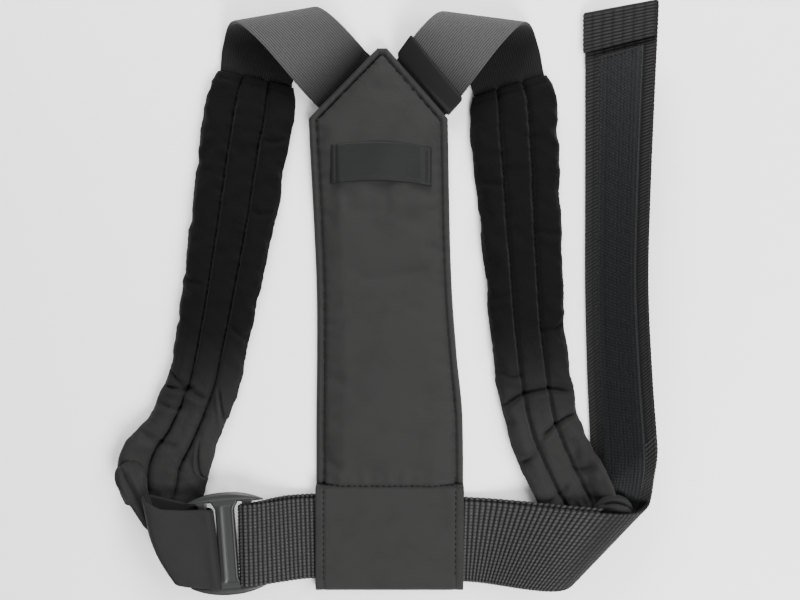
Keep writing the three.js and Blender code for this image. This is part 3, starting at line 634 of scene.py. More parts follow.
def panel_edges(y):
    """Left and right limits of the panel; above the shoulders they close to the tip."""
    share = np.minimum(y / PANEL_LENGTH, 1)
    half = PANEL_WIDTH * column(PANEL_OUTLINE, 1, share) / 2
    centre = PANEL_LEAN * column(PANEL_OUTLINE, 2, share)
    rise = np.clip(y - PANEL_LENGTH, 0, None) / GABLE_HEIGHT
    left = lerp(centre - half, GABLE_TIP_X - GABLE_TIP_WIDTH / 2, rise)
    right = lerp(centre + half, GABLE_TIP_X + GABLE_TIP_WIDTH / 2, rise)
    return left, right


def panel_lift(y):
    """The neck end is carried by the elastics sewn behind it."""
    return GABLE_LIFT * smooth(y, PANEL_LENGTH * 0.76, PANEL_LENGTH * 0.97)


def panel_rim(inset):
    """The panel's rim as a line: up its left side, over the gable and down its right side."""
    gable = np.linspace(PANEL_LENGTH, PANEL_LENGTH + GABLE_HEIGHT, 16)
    heights = np.concatenate([np.linspace(0, PANEL_LENGTH, 50), gable[1:]])
    left, right = panel_edges(heights)
    line = np.concatenate([
        np.stack([left, heights], -1),
        np.stack([right, heights], -1)[::-1],
    ])
    if not inset:
        return line
    ahead = np.gradient(line, axis=0)
    ahead /= np.linalg.norm(ahead, axis=1, keepdims=True)
    return line + np.stack([ahead[:, 1], -ahead[:, 0]], -1) * inset


PANEL_RIM = panel_rim(0)


def from_rim(x, y):
    """Distance in from the panel's rim, and the place along it of the nearest point."""
    points = np.stack([x.ravel(), y.ravel()], -1)[:, None]
    start, end = PANEL_RIM[:-1], PANEL_RIM[1:]
    step = end - start
    length = np.linalg.norm(step, axis=1)
    passed = np.concatenate([[0], np.cumsum(length)[:-1]])
    share = np.clip(((points - start) * step).sum(-1) / length**2, 0, 1)
    distance = np.linalg.norm(points - start - share[..., None] * step, axis=-1)
    nearest = distance.argmin(axis=1)
    pick = np.arange(len(nearest))
    along = passed[nearest] + share[pick, nearest] * length[nearest]
    return distance[pick, nearest].reshape(x.shape), along.reshape(x.shape)


def ripple(along, pitch, seed):
    """Uneven small waves along a seam, between -1 and 1."""
    drift = 0.9 * np.sin(along / (pitch * 3.1) + seed) + 0.7 * np.sin(along / (pitch * 1.9) + 2 * seed)
    swell = 0.7 + 0.3 * np.sin(along / (pitch * 2.3) + 3 * seed)
    return swell * np.sin(2 * math.pi * along / pitch + drift)


# Soft waves in the panel's padding: height up from the foot, share across, reach up, reach
# across and height of each, in millimetres but for the share.
PANEL_WAVES = (
    (305.0, -0.2, 12.0, 26.0, 0.9), (262.0, 0.45, 10.0, 22.0, -0.8),
    (225.0, -0.4, 20.0, 20.0, 0.7), (196.0, 0.35, 9.0, 34.0, -0.6),
    (158.0, -0.1, 14.0, 30.0, 0.7), (120.0, 0.5, 16.0, 18.0, -0.6),
    (92.0, -0.35, 10.0, 26.0, 0.6), (240.0, 0.1, 7.0, 30.0, 0.5),
)


def panel_top(x, y):
    """Height of the panel's outer face: rolled hem, sewn groove, puckers and padded field."""
    left, right = panel_edges(y)
    inset, along = from_rim(x, y)
    foot = smooth(y, TUNNEL_SEAM + 0.6, TUNNEL_SEAM - 0.6)
    edge = np.sqrt(np.clip(1 - (1 - np.minimum(inset, 2.2) / 2.2) ** 2, 0.05, 1))
    roll = HEM_ROLL * np.sin(math.pi * np.clip(inset / STITCH_INSET, 0, 1))
    groove = 1.5 * np.exp(-(((inset - STITCH_INSET) / 0.9) ** 2))
    gather = np.exp(-(((inset - STITCH_INSET) / 3.2) ** 2)) * np.minimum(inset / 1.5, 1)
    puckers = 0.32 * ripple(along, 7.4, 1.3) + 0.16 * ripple(along, 3.7, 2.1)
    field = np.sqrt(np.clip((inset - STITCH_INSET) / 13.0, 0, 1))
    plump = HEM_THICKNESS * edge + roll + (PANEL_THICKNESS - HEM_THICKNESS) * field
    across = (x - (left + right) / 2) / ((right - left) / 2)
    waves_here = sum(
        height * np.exp(-(((y - up) / tall) ** 2) - (((across - side) * PANEL_WIDTH / 2 / wide) ** 2))
        for up, side, tall, wide, height in PANEL_WAVES
    )
    fold = smooth(y, -2.5, 3.2)
    flap = lerp(PANEL_BACKING, FOOT_THICKNESS, np.sqrt(fold)) - 0.5 * (1 - edge)
    flap = flap - groove * 0.5 + gather * puckers * 0.6
    upper = plump - groove + 1.6 * gather * puckers + 1.8 * waves_here * field
    seam = np.exp(-(((y - TUNNEL_SEAM) / 1.1) ** 2))
    beyond = np.exp(-(((y - TUNNEL_SEAM - 4.0) / 4.5) ** 2))
    seam_waves = beyond * 0.35 * ripple(x, 8.6, 0.7)
    return panel_lift(y) + lerp(upper, flap, foot) - 1.5 * seam + seam_waves


def panel_grid():
    """Places across and up the panel, closer together at its rim and seam."""
    rim = np.linspace(0, 9.5, 16)[:-1]
    shares = np.concatenate([rim, np.linspace(9.5, PANEL_WIDTH - 9.5, 44), PANEL_WIDTH - rim[::-1]])
    shares = shares / PANEL_WIDTH
    foot = np.concatenate([np.linspace(0, 6, 11)[:-1], np.linspace(6, TUNNEL_SEAM - 4, 28)[:-1]])
    seam = np.linspace(TUNNEL_SEAM - 4, TUNNEL_SEAM + 6, 20)[:-1]
    body = np.linspace(TUNNEL_SEAM + 6, PANEL_LENGTH, 150)[:-1]
    gable = np.linspace(PANEL_LENGTH, PANEL_LENGTH + GABLE_HEIGHT, 52)
    y = np.concatenate([foot, seam, body, gable])[:, None]
    left, right = panel_edges(y)
    x = left + (right - left) * shares[None, :]
    return x, np.broadcast_to(y, x.shape)


def flat_stack(x, y, z):
    return np.stack([x, y, np.broadcast_to(z, x.shape)], -1)


def cut_box(obj, low, high):
    """Takes a box, given by two corners in millimetres, out of an object."""
    corners = np.array([[x, y, z] for x in (0, 1) for y in (0, 1) for z in (0, 1)])
    points = np.array(low) + corners * (np.array(high) - np.array(low))
    faces = [(0, 1, 3, 2), (4, 6, 7, 5), (0, 4, 5, 1), (2, 3, 7, 6), (0, 2, 6, 4), (1, 5, 7, 3)]
    tool = make(obj.name + "_tunnel", points, faces, obj.data.materials[0])
    modifier = obj.modifiers.new("tunnel", "BOOLEAN")
    modifier.object = tool
    modifier.operation = "DIFFERENCE"
    modifier.solver = "EXACT"
    settled = obj.evaluated_get(bpy.context.evaluated_depsgraph_get())
    obj.data = bpy.data.meshes.new_from_object(settled)
    obj.modifiers.clear()
    bpy.data.objects.remove(tool)


def label_place(u, v, raised):
    """A point of the label: u along it and v up it, each from -1 to 1."""
    middle = PANEL_LENGTH - LABEL_DROP
    centre = PANEL_LEAN * column(PANEL_OUTLINE, 2, middle / PANEL_LENGTH) + LABEL_SHIFT
    x = centre + u * LABEL_WIDTH / 2
    y = middle + v * LABEL_HEIGHT / 2 + LABEL_ARCH * (0.55 - u**2) - 0.7 * u
    bulge = 0.9 * (1 - u**2) * (1 - 0.3 * v**2)
    sag = 0.25 * np.sin(5.0 * u + 1.0) * (1 - u**2)
    return flat_stack(x, y, panel_top(x, y) + GAP + bulge + sag + raised)


def make_label():
    u, v = np.meshgrid(np.linspace(-1, 1, 97), np.linspace(-1, 1, 41))
    rim = np.minimum((1 - np.abs(u)) * LABEL_WIDTH / 2, (1 - np.abs(v)) * LABEL_HEIGHT / 2)
    fold = np.sqrt(np.clip(1 - (1 - np.minimum(rim, 0.8) / 0.8) ** 2, 0.1, 1))
    hem = 0.25 * smooth(rim, 3.2, 2.4)
    groove = 0.35 * np.exp(-((((1 - np.abs(u)) * LABEL_WIDTH / 2 - 3.4) / 0.5) ** 2))
    upper = label_place(u, v, LABEL_THICKNESS * fold + hem - groove)
    points, faces = slab(upper, label_place(u, v, np.zeros_like(u)))
    uv = np.stack([v * LABEL_HEIGHT / 2, u * LABEL_WIDTH / 2], -1).reshape(-1, 2)
    return make("label_patch_cloth", points, faces, LABEL_SATIN, np.tile(uv, (2, 1)))


class Elastic:
    """A strap laid flat from the gable, then rolled over a slanting axis and back below itself."""

    def __init__(self, side, out, pad, run, tail, gable_share, flare):
        self.flare = flare
        self.outer = -side
        self.out = heading(out)
        self.side = left_of(self.out)
        axis = heading((out + pad) / 2)
        self.outward = left_of(axis)
        if self.outward @ self.out < 0:
            self.outward = -self.outward
        self.run = run
        self.tail = tail
        left, right = panel_edges(np.array(PANEL_LENGTH))
        shoulder = np.array([left if side < 0 else right, PANEL_LENGTH, 0.0])
        tip_x = GABLE_TIP_X + side * GABLE_TIP_WIDTH / 2
        tip = np.array([tip_x, PANEL_LENGTH + GABLE_HEIGHT, 0.0])
        self.start = lerp(shoulder, tip, gable_share) + ELASTIC_STAND_OFF * self.out

    def pull(self, across):
        """How far a line across is pulled towards the neck at the roll."""
        return self.flare * (0.5 + self.outer * across / ELASTIC_WIDTH)

    def slip(self, across):
        return (self.side @ self.outward) * across / (self.out @ self.outward)

    def climb(self, across, s):
        """Height of the upper layer, level at the gable and highest at the roll."""
        share = np.clip(s / (self.run - self.slip(across)), 0, 1)
        crest = ELASTIC_REST_HEIGHT + 2 * ELASTIC_ROLL
        return lerp(ELASTIC_HEIGHT, crest, np.sin(share * math.pi / 2))

    def point(self, across, stage, share):
        fold = self.run - self.slip(across)
        origin = self.start + self.side * across
        roll = math.pi * ELASTIC_ROLL
        per_roll = 1 / (self.out @ self.outward)
        if stage == "upper":
            s = share * (ELASTIC_INSERT if share < 0 else fold)
            found = origin + self.out * s
            found[2] = self.climb(across, s)
            found[1] += self.pull(across) * smooth(share, 0, 1)
            return found
        rolled = share * roll if stage == "roll" else roll
        past = 0.0 if stage == "roll" else share * (self.tail + self.slip(across))
        found = origin + self.out * (fold + rolled * per_roll + past)
        beyond = rolled + past / per_roll
        angle = rolled / ELASTIC_ROLL
        back = ELASTIC_ROLL * math.sin(angle) if stage == "roll" else roll - beyond
        found = found + self.outward * (back - beyond)
        found[1] += self.pull(across) * (1 if stage == "roll" else 1 - smooth(share, 0, 1))
        found[2] = ELASTIC_REST_HEIGHT + ELASTIC_ROLL * (1 + math.cos(angle))
        return found

    def surface(self):
        stages = [("upper", s) for s in (-1, *np.linspace(0, 1, 11))]
        stages += [("roll", s) for s in np.linspace(0, 1, 21)[1:]]
        stages += [("tail", s) for s in np.linspace(0, 1, 5)[1:]]
        acrosses = np.linspace(-ELASTIC_WIDTH / 2, ELASTIC_WIDTH / 2, 9)
        rows = [[self.point(across, *stage) for across in acrosses] for stage in stages]
        return np.array(rows)

    def end(self):
        found = self.point(0.0, "tail", 1)
        found[2] = 0
        return found


LEFT_ELASTIC = Elastic(-1, 139.5, 257.0, 39.0, 19.0, 0.53, 8.0)
RIGHT_ELASTIC = Elastic(1, 45.5, 287.0, 38.0, 24.0, 0.45, 6.0)


def make_elastic(name, route):
    columns = 133
    grid = refine(route.surface(), 1.1, columns)
    across = np.linspace(0, ELASTIC_WIDTH, columns)[None, :]
    ribs = 0.28 * (np.abs(np.sin(math.pi * across / RIB_PITCH)) - 0.5)
    points, faces = strap_slab(grid, ELASTIC_THICKNESS, ribs)
    return make(name, points, faces, ELASTIC, strap_uv(grid))


def make_keeper():
    """A flat sleeve round the right elastic, just outside the gable."""
    route = RIGHT_ELASTIC
    inner = ELASTIC_WIDTH / 2 + GAP
    clear = ELASTIC_THICKNESS / 2 + KEEPER_EASE
    across = np.linspace(-1, 1, 31)
    first = KEEPER_STAND_OFF - ELASTIC_STAND_OFF
    stops = np.linspace(first, first + KEEPER_WIDTH, 15)
    edge = edge_fade(len(stops), KEEPER_WIDTH, 0.9)

    def ring(wall):
        rows = []
        for half, turn in ((1, 1), (-1, -1)):
            for share in across * turn:
                row = []
                for stop, fade in zip(stops, edge):
                    reach = wall * fade
                    offset = share * (inner + reach)
                    s = stop + offset * KEEPER_SLANT
                    point = route.start + route.out * s + route.side * offset
                    point[2] = route.climb(share * inner, s) - half * (clear + reach)
                    row.append(point)
                rows.append(row)
        return np.array(rows)

    points, faces = slab(ring(KEEPER_WALL), ring(0.0), looped=True)
    outer = np.linspace(0, 2 * ELASTIC_WIDTH, 62)[:, None]
    uv = np.stack(np.broadcast_arrays(stops[None, :], outer), -1).reshape(-1, 2)
    return make("elastic_keeper_tape", points, faces, KEEPER_TAPE, np.tile(uv, (2, 1)))


# Creases pressed into a pad: share along and place across where each starts and ends, arch as
# a share along, width and depth in millimetres.
LEFT_CREASES = (
    (0.690, -1.0, 0.715, -0.1, 0.010, 1.6, 1.3), (0.735, -1.0, 0.730, 0.3, -0.008, 1.5, 1.5),
    (0.775, -1.0, 0.765, -0.2, 0.004, 1.4, 1.0), (0.700, 0.45, 0.765, 1.0, 0.000, 1.5, 1.3),
    (0.820, 0.5, 0.905, 1.0, 0.000, 1.7, 1.3), (0.860, -0.9, 0.845, 0.1, 0.006, 1.6, 0.9),
    (0.300, 0.45, 0.290, 1.0, 0.004, 1.6, 0.6), (0.470, -1.0, 0.480, -0.4, 0.004, 1.6, 0.6),
    (0.560, 0.4, 0.575, 1.0, 0.004, 1.5, 0.7), (0.140, 0.4, 0.120, 1.0, 0.003, 1.8, 0.6),
)
RIGHT_CREASES = (
    (0.722, -1.0, 0.708, 1.0, -0.022, 1.7, 1.8), (0.800, -0.2, 0.765, 1.0, -0.004, 1.6, 1.4),
    (0.880, 0.2, 0.900, 0.8, 0.006, 2.4, 1.3), (0.640, -1.0, 0.655, -0.3, 0.004, 1.5, 0.8),
    (0.830, -1.0, 0.815, -0.3, 0.006, 1.6, 0.9), (0.330, 0.3, 0.345, 1.0, 0.004, 1.6, 0.6),
    (0.480, -1.0, 0.470, -0.4, 0.004, 1.6, 0.6), (0.560, 0.3, 0.550, 1.0, 0.004, 1.6, 0.7),
    (0.210, -1.0, 0.225, -0.4, 0.004, 1.6, 0.6), (0.930, -0.8, 0.915, 0.0, 0.004, 1.5, 0.9),
)

PAD_SEAMS = (-0.333, 0.333)
CREASE_DEPTH = 2.3


class Pad:
    """A quilted arm pad: three stuffed channels along a bowed line from shoulder to belt."""

    def __init__(self, stations, elastic, top, reach, bearing, curl_side, creases, gather):
        self.stations = stations
        self.top_heading = heading(top)
        self.top = elastic.end() + GAP * self.top_heading
        self.reach = reach
        self.run = heading(bearing)
        self.curl_side = curl_side
        self.creases = creases
        self.gather = gather

    def middle(self, share):
        bow = column(self.stations, 1, share) * self.reach
        share = np.asarray(share)[..., None]
        return self.top + self.run * share * self.reach + left_of(self.run) * bow[..., None]

    def across(self, share):
        ahead = self.middle(np.minimum(share + 0.01, 1)) - self.middle(np.maximum(share - 0.01, 0))
        ahead /= np.linalg.norm(ahead, axis=-1, keepdims=True)
        ahead = lerp(self.top_heading, ahead, smooth(share, 0, 0.15)[..., None])
        ahead /= np.linalg.norm(ahead, axis=-1, keepdims=True)
        return np.stack([-ahead[..., 1], ahead[..., 0], np.zeros_like(ahead[..., 0])], -1)

    def place(self, share, at, height):
        """Points of the pad from a share along it, a place across and a share of its thickness."""
        share, at, height = np.broadcast_arrays(share, at, height)
        half = column(self.stations, 2, share) * PAD_WIDTH / 2
        thick = column(self.stations, 3, share) * PAD_THICKNESS
        lift = np.maximum(column(self.stations, 4, share), 0) * PAD_THICKNESS
        curl = np.maximum(column(self.stations, 5, share), 0) * PAD_THICKNESS
        found = self.middle(share) + self.across(share) * (at * half)[..., None]
        found[..., 2] = lift + height * thick + curl * smooth(at * self.curl_side, 0.45, 1)
        return found

    def relief(self, share, at):
        """Seams, puckers, creases and end pleats pressed into the upper face, in millimetres."""
        half = column(self.stations, 2, share) * PAD_WIDTH / 2
        along = share * self.reach
        depth = np.zeros(np.broadcast(share, at).shape)
        for number, seam in enumerate(PAD_SEAMS):
            off = (at - seam) * half
            depth = depth - 1.5 * np.exp(-((off / 1.0) ** 2))
            wave = ripple(along, 9.2, 1.7 + number) + 0.5 * ripple(along, 4.3, 0.4 + number)
            depth = depth + 0.45 * np.exp(-((off / 4.2) ** 2)) * wave
        rim = (1 - np.abs(at)) * half
        edge_wave = ripple(along, 11.0, 2.9) + 0.6 * ripple(along, 5.2, 1.1)
        depth = depth + 0.55 * np.exp(-(((rim - 2.0) / 3.0) ** 2)) * edge_wave
        for start, start_at, end, end_at, arch, width, deep in self.creases:
            t = (at - start_at) / (end_at - start_at)
            line = lerp(start, end, t) + arch * np.sin(math.pi * np.clip(t, 0, 1))
            off = (share - line) * self.reach
            shown = smooth(t, -0.08, 0.2) * smooth(t, 1.08, 0.8)
            deep = deep * CREASE_DEPTH
            depth = depth - deep * shown * np.exp(-((off / width) ** 2))
            depth = depth + 0.5 * deep * shown * np.exp(-(((off - 2.6 * width) / (1.7 * width)) ** 2))
        pleats = np.sin(at * half * 2 * math.pi / 6.4 + 1.1 * np.sin(at * 5.0))
        depth = depth + self.gather * smooth(share, 0.93, 1.0) * pleats
        seam = np.exp(-((along - 4.5) / 1.0) ** 2)
        return depth - 1.1 * seam

    def ring(self, top_count, under_count):
        """Places across and heights round a cross-section, and which of them are on top."""
        at = np.linspace(-1, 1, top_count)
        height = column(PAD_TOP_PROFILE, 1, at)
        under = np.linspace(0.94, -0.94, under_count)
        low = 0.25 * np.abs(under / 0.94) ** 12
        upper = np.concatenate([np.ones(top_count), np.zeros(under_count)])
        return np.concatenate([at, under]), np.concatenate([height, low]), upper

    def shell(self, rows, top_count, under_count, detail):
        """Points, faces and flat places of the whole pad."""
        at, height, upper = self.ring(top_count, under_count)
        share = np.linspace(0, 1, rows)[:, None]
        points = self.place(share, at[None, :], height[None, :])
        if detail:
            points[..., 2] += upper * self.relief(share, at[None, :])
            points[..., 2] = np.maximum(points[..., 2], 0.05)
        around = len(at)
        index = np.arange(rows * around).reshape(rows, around)
        index = np.hstack([index, index[:, :1]])
        quads = np.stack([index[:-1, :-1], index[:-1, 1:], index[1:, 1:], index[1:, :-1]], -1)
        faces = [list(quad) for quad in quads.reshape(-1, 4)]
        faces += [list(index[0, :-1][::-1]), list(index[-1, :-1])]
        return points.reshape(-1, 3), faces

    def seam_line(self, at, shift, start=0.03, end=0.97):
        """A stitch line along the pad: points just above the cloth, and their normals."""
        share = np.linspace(start, end, 260)
        points = self.place(share, at, column(PAD_TOP_PROFILE, 1, np.full_like(share, at)))
        points[:, 2] += self.relief(share, np.full_like(share, at))
        points += shift(points)
        return points + (0, 0, 0.1), np.tile((0.0, 0.0, 1.0), (len(points), 1))


LEFT_PAD = Pad(
    LEFT_PAD_STATIONS, LEFT_ELASTIC, 257.0, 276.0, 257.3, -1, LEFT_CREASES, 0.35,
)
RIGHT_PAD = Pad(
    RIGHT_PAD_STATIONS, RIGHT_ELASTIC, 287.0, 274.0, 279.7, 1, RIGHT_CREASES, 1.1,
)


def puffed(points, faces, held, limit):
    """Simulates a coarse copy of stuffed cloth that is puffed up between the places where it is
    held, and returns a function that gives how far the cloth moved near any points."""
    cloth = make("stuffing", points, faces, PAD_FABRIC)
    remesh = cloth.modifiers.new("even", "REMESH")
    remesh.mode = "VOXEL"
    remesh.voxel_size = 4.0 * MM
    settled = cloth.evaluated_get(bpy.context.evaluated_depsgraph_get())
    cloth.data = bpy.data.meshes.new_from_object(settled)
    cloth.modifiers.clear()
    before = np.empty(len(cloth.data.vertices) * 3)
    cloth.data.vertices.foreach_get("co", before)
    before = before.reshape(-1, 3)
    weights = held(before / MM - PANEL_SHIFT)
    group = cloth.vertex_groups.new(name="held")
    for number, weight in enumerate(weights):
        group.add([number], float(weight), "REPLACE")
    modifier = cloth.modifiers.new("cloth", "CLOTH")
    modifier.settings.quality = 5
    modifier.settings.mass = 0.2
    modifier.settings.tension_stiffness = 12
    modifier.settings.compression_stiffness = 12
    modifier.settings.bending_stiffness = 0.4
    modifier.settings.shrink_min = -0.06
    modifier.settings.use_pressure = True
    modifier.settings.uniform_pressure_force = 4
    modifier.settings.vertex_group_mass = "held"
    modifier.settings.effector_weights.gravity = 0
    modifier.collision_settings.use_collision = False
    scene = bpy.context.scene
    modifier.point_cache.frame_start = 1
    modifier.point_cache.frame_end = 20
    for number in range(1, 21):
        scene.frame_set(number)
    done = cloth.evaluated_get(bpy.context.evaluated_depsgraph_get()).to_mesh()
    after = np.empty(len(done.vertices) * 3)
    done.vertices.foreach_get("co", after)
    moved = (after.reshape(-1, 3) - before) / MM
    length = np.linalg.norm(moved, axis=1, keepdims=True)
    moved *= limit * np.tanh(length / limit) / np.maximum(length, 1e-9)
    scene.frame_set(1)
    bpy.data.objects.remove(cloth)
    tree = kdtree.KDTree(len(before))
    for number, place in enumerate(before):
        tree.insert(place, number)
    tree.balance()

    def shift(places):
        found = np.zeros((len(places), 3))
        for number, place in enumerate((places + PANEL_SHIFT) * MM):
            near = tree.find_n(place, 5)
            share = np.array([1 / (distance + 0.0008) for _, _, distance in near])
            share /= share.sum()
            found[number] = share @ moved[[index for _, index, _ in near]]
        return found

    return shift


def pad_held(pad):
    """Where a pad's cloth is held: along its two seams, at both ends and on the surface."""
    def held(places):
        shares = np.linspace(0, 1, 400)
        middles = pad.middle(shares)
        sideways = pad.across(shares)
        gaps = np.linalg.norm(places[:, None, :2] - middles[None, :, :2], axis=2)
        nearest = gaps.argmin(axis=1)
        off = ((places - middles[nearest]) * sideways[nearest]).sum(axis=1)
        half = column(pad.stations, 2, shares[nearest]) * PAD_WIDTH / 2
        at = off / half
        seam = np.min([np.abs(at - seam) for seam in PAD_SEAMS], axis=0) * half
        ends = np.minimum(shares[nearest], 1 - shares[nearest]) * pad.reach
        loose = smooth(seam, 1.8, 4.0) * smooth(ends, 3, 9) * smooth(places[:, 2], 0.8, 3.0)
        return 1 - loose
    return held


def make_pad(name, pad):
    coarse, coarse_faces = pad.shell(120, 37, 13, detail=False)
    shift = puffed(coarse, coarse_faces, pad_held(pad), 2.2)
    points, faces = pad.shell(250, 73, 18, detail=True)
    points = points + shift(points)
    points[:, 2] = np.maximum(points[:, 2], 0.05)
    obj = make(name, points, faces, PAD_FABRIC)
    return obj, shift


def even_places(points, outward, pitch):
    """Points, directions and normals at an even pitch along a line."""
    steps = np.linalg.norm(np.diff(points, axis=0), axis=1)
    distance = np.concatenate([[0], np.cumsum(steps)])
    at = np.arange(pitch / 2, distance[-1] - pitch / 2, pitch)
    place = np.stack([np.interp(at, distance, points[:, k]) for k in range(3)], -1)
    ahead = np.stack([np.interp(at + 0.6, distance, points[:, k]) for k in range(3)], -1) - place
    up = np.stack([np.interp(at, distance, outward[:, k]) for k in range(3)], -1)
    return place, ahead / np.linalg.norm(ahead, axis=1, keepdims=True), up


# A stitch's cross-sections: place along it, radius and lift, all as shares.
STITCH_SECTIONS = (
    (-0.5, 0.3, -0.8), (-0.34, 0.85, -0.1), (0.0, 1.0, 0.4), (0.34, 0.85, -0.1), (0.5, 0.3, -0.8),
)


def stitches(name, lines, material, pitch=3.3, length=2.5, radius=0.3):
    """Rows of small thread stitches as one object."""
    points = []
    faces = []
    ring = np.linspace(0, 2 * math.pi, 6, endpoint=False)
    for line, outward in lines:
        for place, ahead, up in zip(*even_places(line, outward, pitch)):
            side = np.cross(up, ahead)
            first = len(points)
            for share, thick, lift in STITCH_SECTIONS:
                centre = place + ahead * share * length + up * lift * radius
                for angle in ring:
                    points.append(centre + thick * radius * (side * math.cos(angle) + up * math.sin(angle)))
            for section in range(4):
                low = first + 6 * section
                for k in range(6):
                    after = (k + 1) % 6
                    faces.append((low + k, low + after, low + 6 + after, low + 6 + k))
            faces.append(tuple(first + 5 - k for k in range(6)))
            faces.append(tuple(first + 24 + k for k in range(6)))
    return make(name, np.array(points), faces, material)


MOUTH = PANEL_WIDTH / 2
BAR_OFFSET = MIDDLE_BAR_WIDTH / 2 + WEBBING_SLOT + BELT_THICKNESS + WRAP_GAP + SIDE_BAR_RADIUS
BUCKLE_CENTRE_X = -(MOUTH + BUCKLE_REACH)
BAR_X = BUCKLE_CENTRE_X + BAR_OFFSET
STRAP_FLOOR = BELT_THICKNESS / 2
WRAP_RADIUS = SIDE_BAR_RADIUS + WRAP_GAP + BELT_THICKNESS / 2


def belt_slope(x):
    if x > 0:
        return BELT_SLOPE_AT_TURN
    return lerp(BELT_SLOPE_AT_TURN, BELT_SLOPE_AT_BUCKLE, min(x / BAR_X, 1))


def belt_line(x):
    bent = max(min(x, 0), BAR_X)
    climb = (BELT_SLOPE_AT_TURN + belt_slope(bent)) / 2 * bent
    straight = x if x > 0 else min(x - BAR_X, 0)
    return np.array([x, BELT_MIDDLE + climb + straight * belt_slope(x), 0.0])


def belt_flat(x, across):
    tilt = math.atan(belt_slope(x))
    return belt_line(x) + across * np.array([-math.sin(tilt), math.cos(tilt), 0.0])


TURN_ALONG = heading(math.degrees(math.atan(BELT_SLOPE_AT_TURN)))
TURN_OUTWARD = -left_of(heading(TURN_AXIS))
TURN_START = belt_line(MOUTH + TURN_REACH)
TURN_SINE = TURN_ALONG @ TURN_OUTWARD


def turn_radius(across):
    return lerp(TURN_RADIUS_LOW, TURN_RADIUS_HIGH, across / BELT_WIDTH + 0.5)


def fold_x(across):
    distance = (TURN_START - belt_flat(MOUTH, across)) @ TURN_OUTWARD / TURN_SINE
    return MOUTH + distance * TURN_ALONG[0]


def belt_height(x, across, front):
    level = FRONT_BELT_HEIGHT if front else REAR_BELT_HEIGHT
    if x < -MOUTH:
        bar = BUCKLE_HEIGHT + (WRAP_RADIUS if front else -WRAP_RADIUS)
        return lerp(bar, level, smooth(x, BAR_X, -MOUTH - MOUTH_EASE))
    below = 0 if front else BELT_THICKNESS + LAYER_GAP + 0.6
    crest = STRAP_FLOOR + 2 * turn_radius(across) - below
    return lerp(level, crest, smooth(x, MOUTH + MOUTH_EASE, fold_x(across)))


def strap_point(distance, across):
    """A point of the free strap, which stands on its left edge."""
    share = distance / STRAP_LENGTH
    tilt = math.radians(column(STRAP_STATIONS, 2, share))
    inset = column(STRAP_STATIONS, 1, share) * BELT_WIDTH
    width = across + BELT_WIDTH / 2
    low = STRAP_FLOOR * math.cos(tilt) + 0.2
    return np.array([
        STRAP_OUTSET - inset + width * math.cos(tilt),
        TURN_START[1] + TURN_RADIUS_HIGH * 1.6 + distance,
        low + width * math.sin(tilt),
    ])


def turn_point(across, past):
    """A point beyond the fold line: round the roll, then up the strap."""
    radius = turn_radius(across)
    half = math.pi * radius
    beyond = past * TURN_SINE
    angle = min(beyond / radius, math.pi)
    back = radius * math.sin(angle) if beyond < half else half - beyond
    rolled = belt_flat(fold_x(across), across) + TURN_ALONG * past + TURN_OUTWARD * (back - beyond)
    rolled[2] = STRAP_FLOOR + radius * (1 + math.cos(angle))
    middle_half = math.pi * turn_radius(0) / 2 / TURN_SINE
    slip = (fold_x(across) - fold_x(0)) / TURN_ALONG[0]
    tilted = strap_point(past + slip - middle_half - TURN_RADIUS_HIGH * 1.6, across)
    begins = lerp(0.95, 0.35, across / BELT_WIDTH + 0.5) * half
    return lerp(rolled, tilted, smooth(beyond, begins, begins + half * 0.95))


ACROSSES = np.linspace(-BELT_WIDTH / 2, BELT_WIDTH / 2, 9)
REAR_SHIFT = 2.4
WEDGE = 2.6
WEDGE_REACH = 25.0


def wedge(across, width):
    """How loose a strap's loop round a bar is: nothing at its upper edge, most at its lower."""
    return WEDGE * (0.5 - across / width)


def layer_rows(front):
    """Rows of one layer of the belt from the buckle's bar to the turn."""
    rows = []
    for stop in (*np.linspace(0, 1, 13), *np.linspace(1, 2, 9)[1:], *np.linspace(2, 3, 15)[1:]):
        row = []
        for across in ACROSSES:
            far = fold_x(across) - (0 if front else REAR_STOP)
            ends = (BAR_X, -MOUTH - MOUTH_EASE, MOUTH + MOUTH_EASE, far)
            x = np.interp(stop, (0, 1, 2, 3), ends)
            point = belt_flat(x, across)
            point[2] = belt_height(x, across, front)
            point[0] -= wedge(across, BELT_WIDTH) * (1 - smooth(x, BAR_X, BAR_X + WEDGE_REACH))
            if not front:
                point[1] += REAR_SHIFT * smooth(x, BAR_X, BAR_X + WEDGE_REACH)
            row.append(point)
        rows.append(row)
    return rows


def belt_rows():
    """The whole belt: rear layer, wrap round the buckle's bar, front layer, turn and strap."""
    rear = layer_rows(False)[::-1]
    wrap = []
    for share in np.linspace(0, 1, 11)[1:-1]:
        out = WRAP_RADIUS * math.sin(share * math.pi)
        row = [belt_flat(BAR_X, a) - (out, out * BELT_SLOPE_AT_BUCKLE, 0) for a in ACROSSES]
        for point, across in zip(row, ACROSSES):
            point[0] -= wedge(across, BELT_WIDTH)
            point[2] = BUCKLE_HEIGHT - WRAP_RADIUS * math.cos(share * math.pi)
        wrap.append(row)
    turn_length = 1.45 * math.pi * TURN_RADIUS_HIGH / TURN_SINE
    turn = [[turn_point(a, share * turn_length) for a in ACROSSES] for share in np.linspace(0, 1, 31)[1:]]
    middle_half = math.pi * turn_radius(0) / 2 / TURN_SINE
    strap = []
    for share in np.linspace(0, 1, 41)[1:]:
        row = []
        for across in ACROSSES:
            slip = (fold_x(across) - fold_x(0)) / TURN_ALONG[0]
            last = STRAP_LENGTH + TURN_RADIUS_HIGH * 1.6 + middle_half - slip
            row.append(turn_point(across, lerp(turn_length, last, share)))
        strap.append(row)
    return np.array(rear + wrap), np.array(layer_rows(True) + turn), np.array(strap)


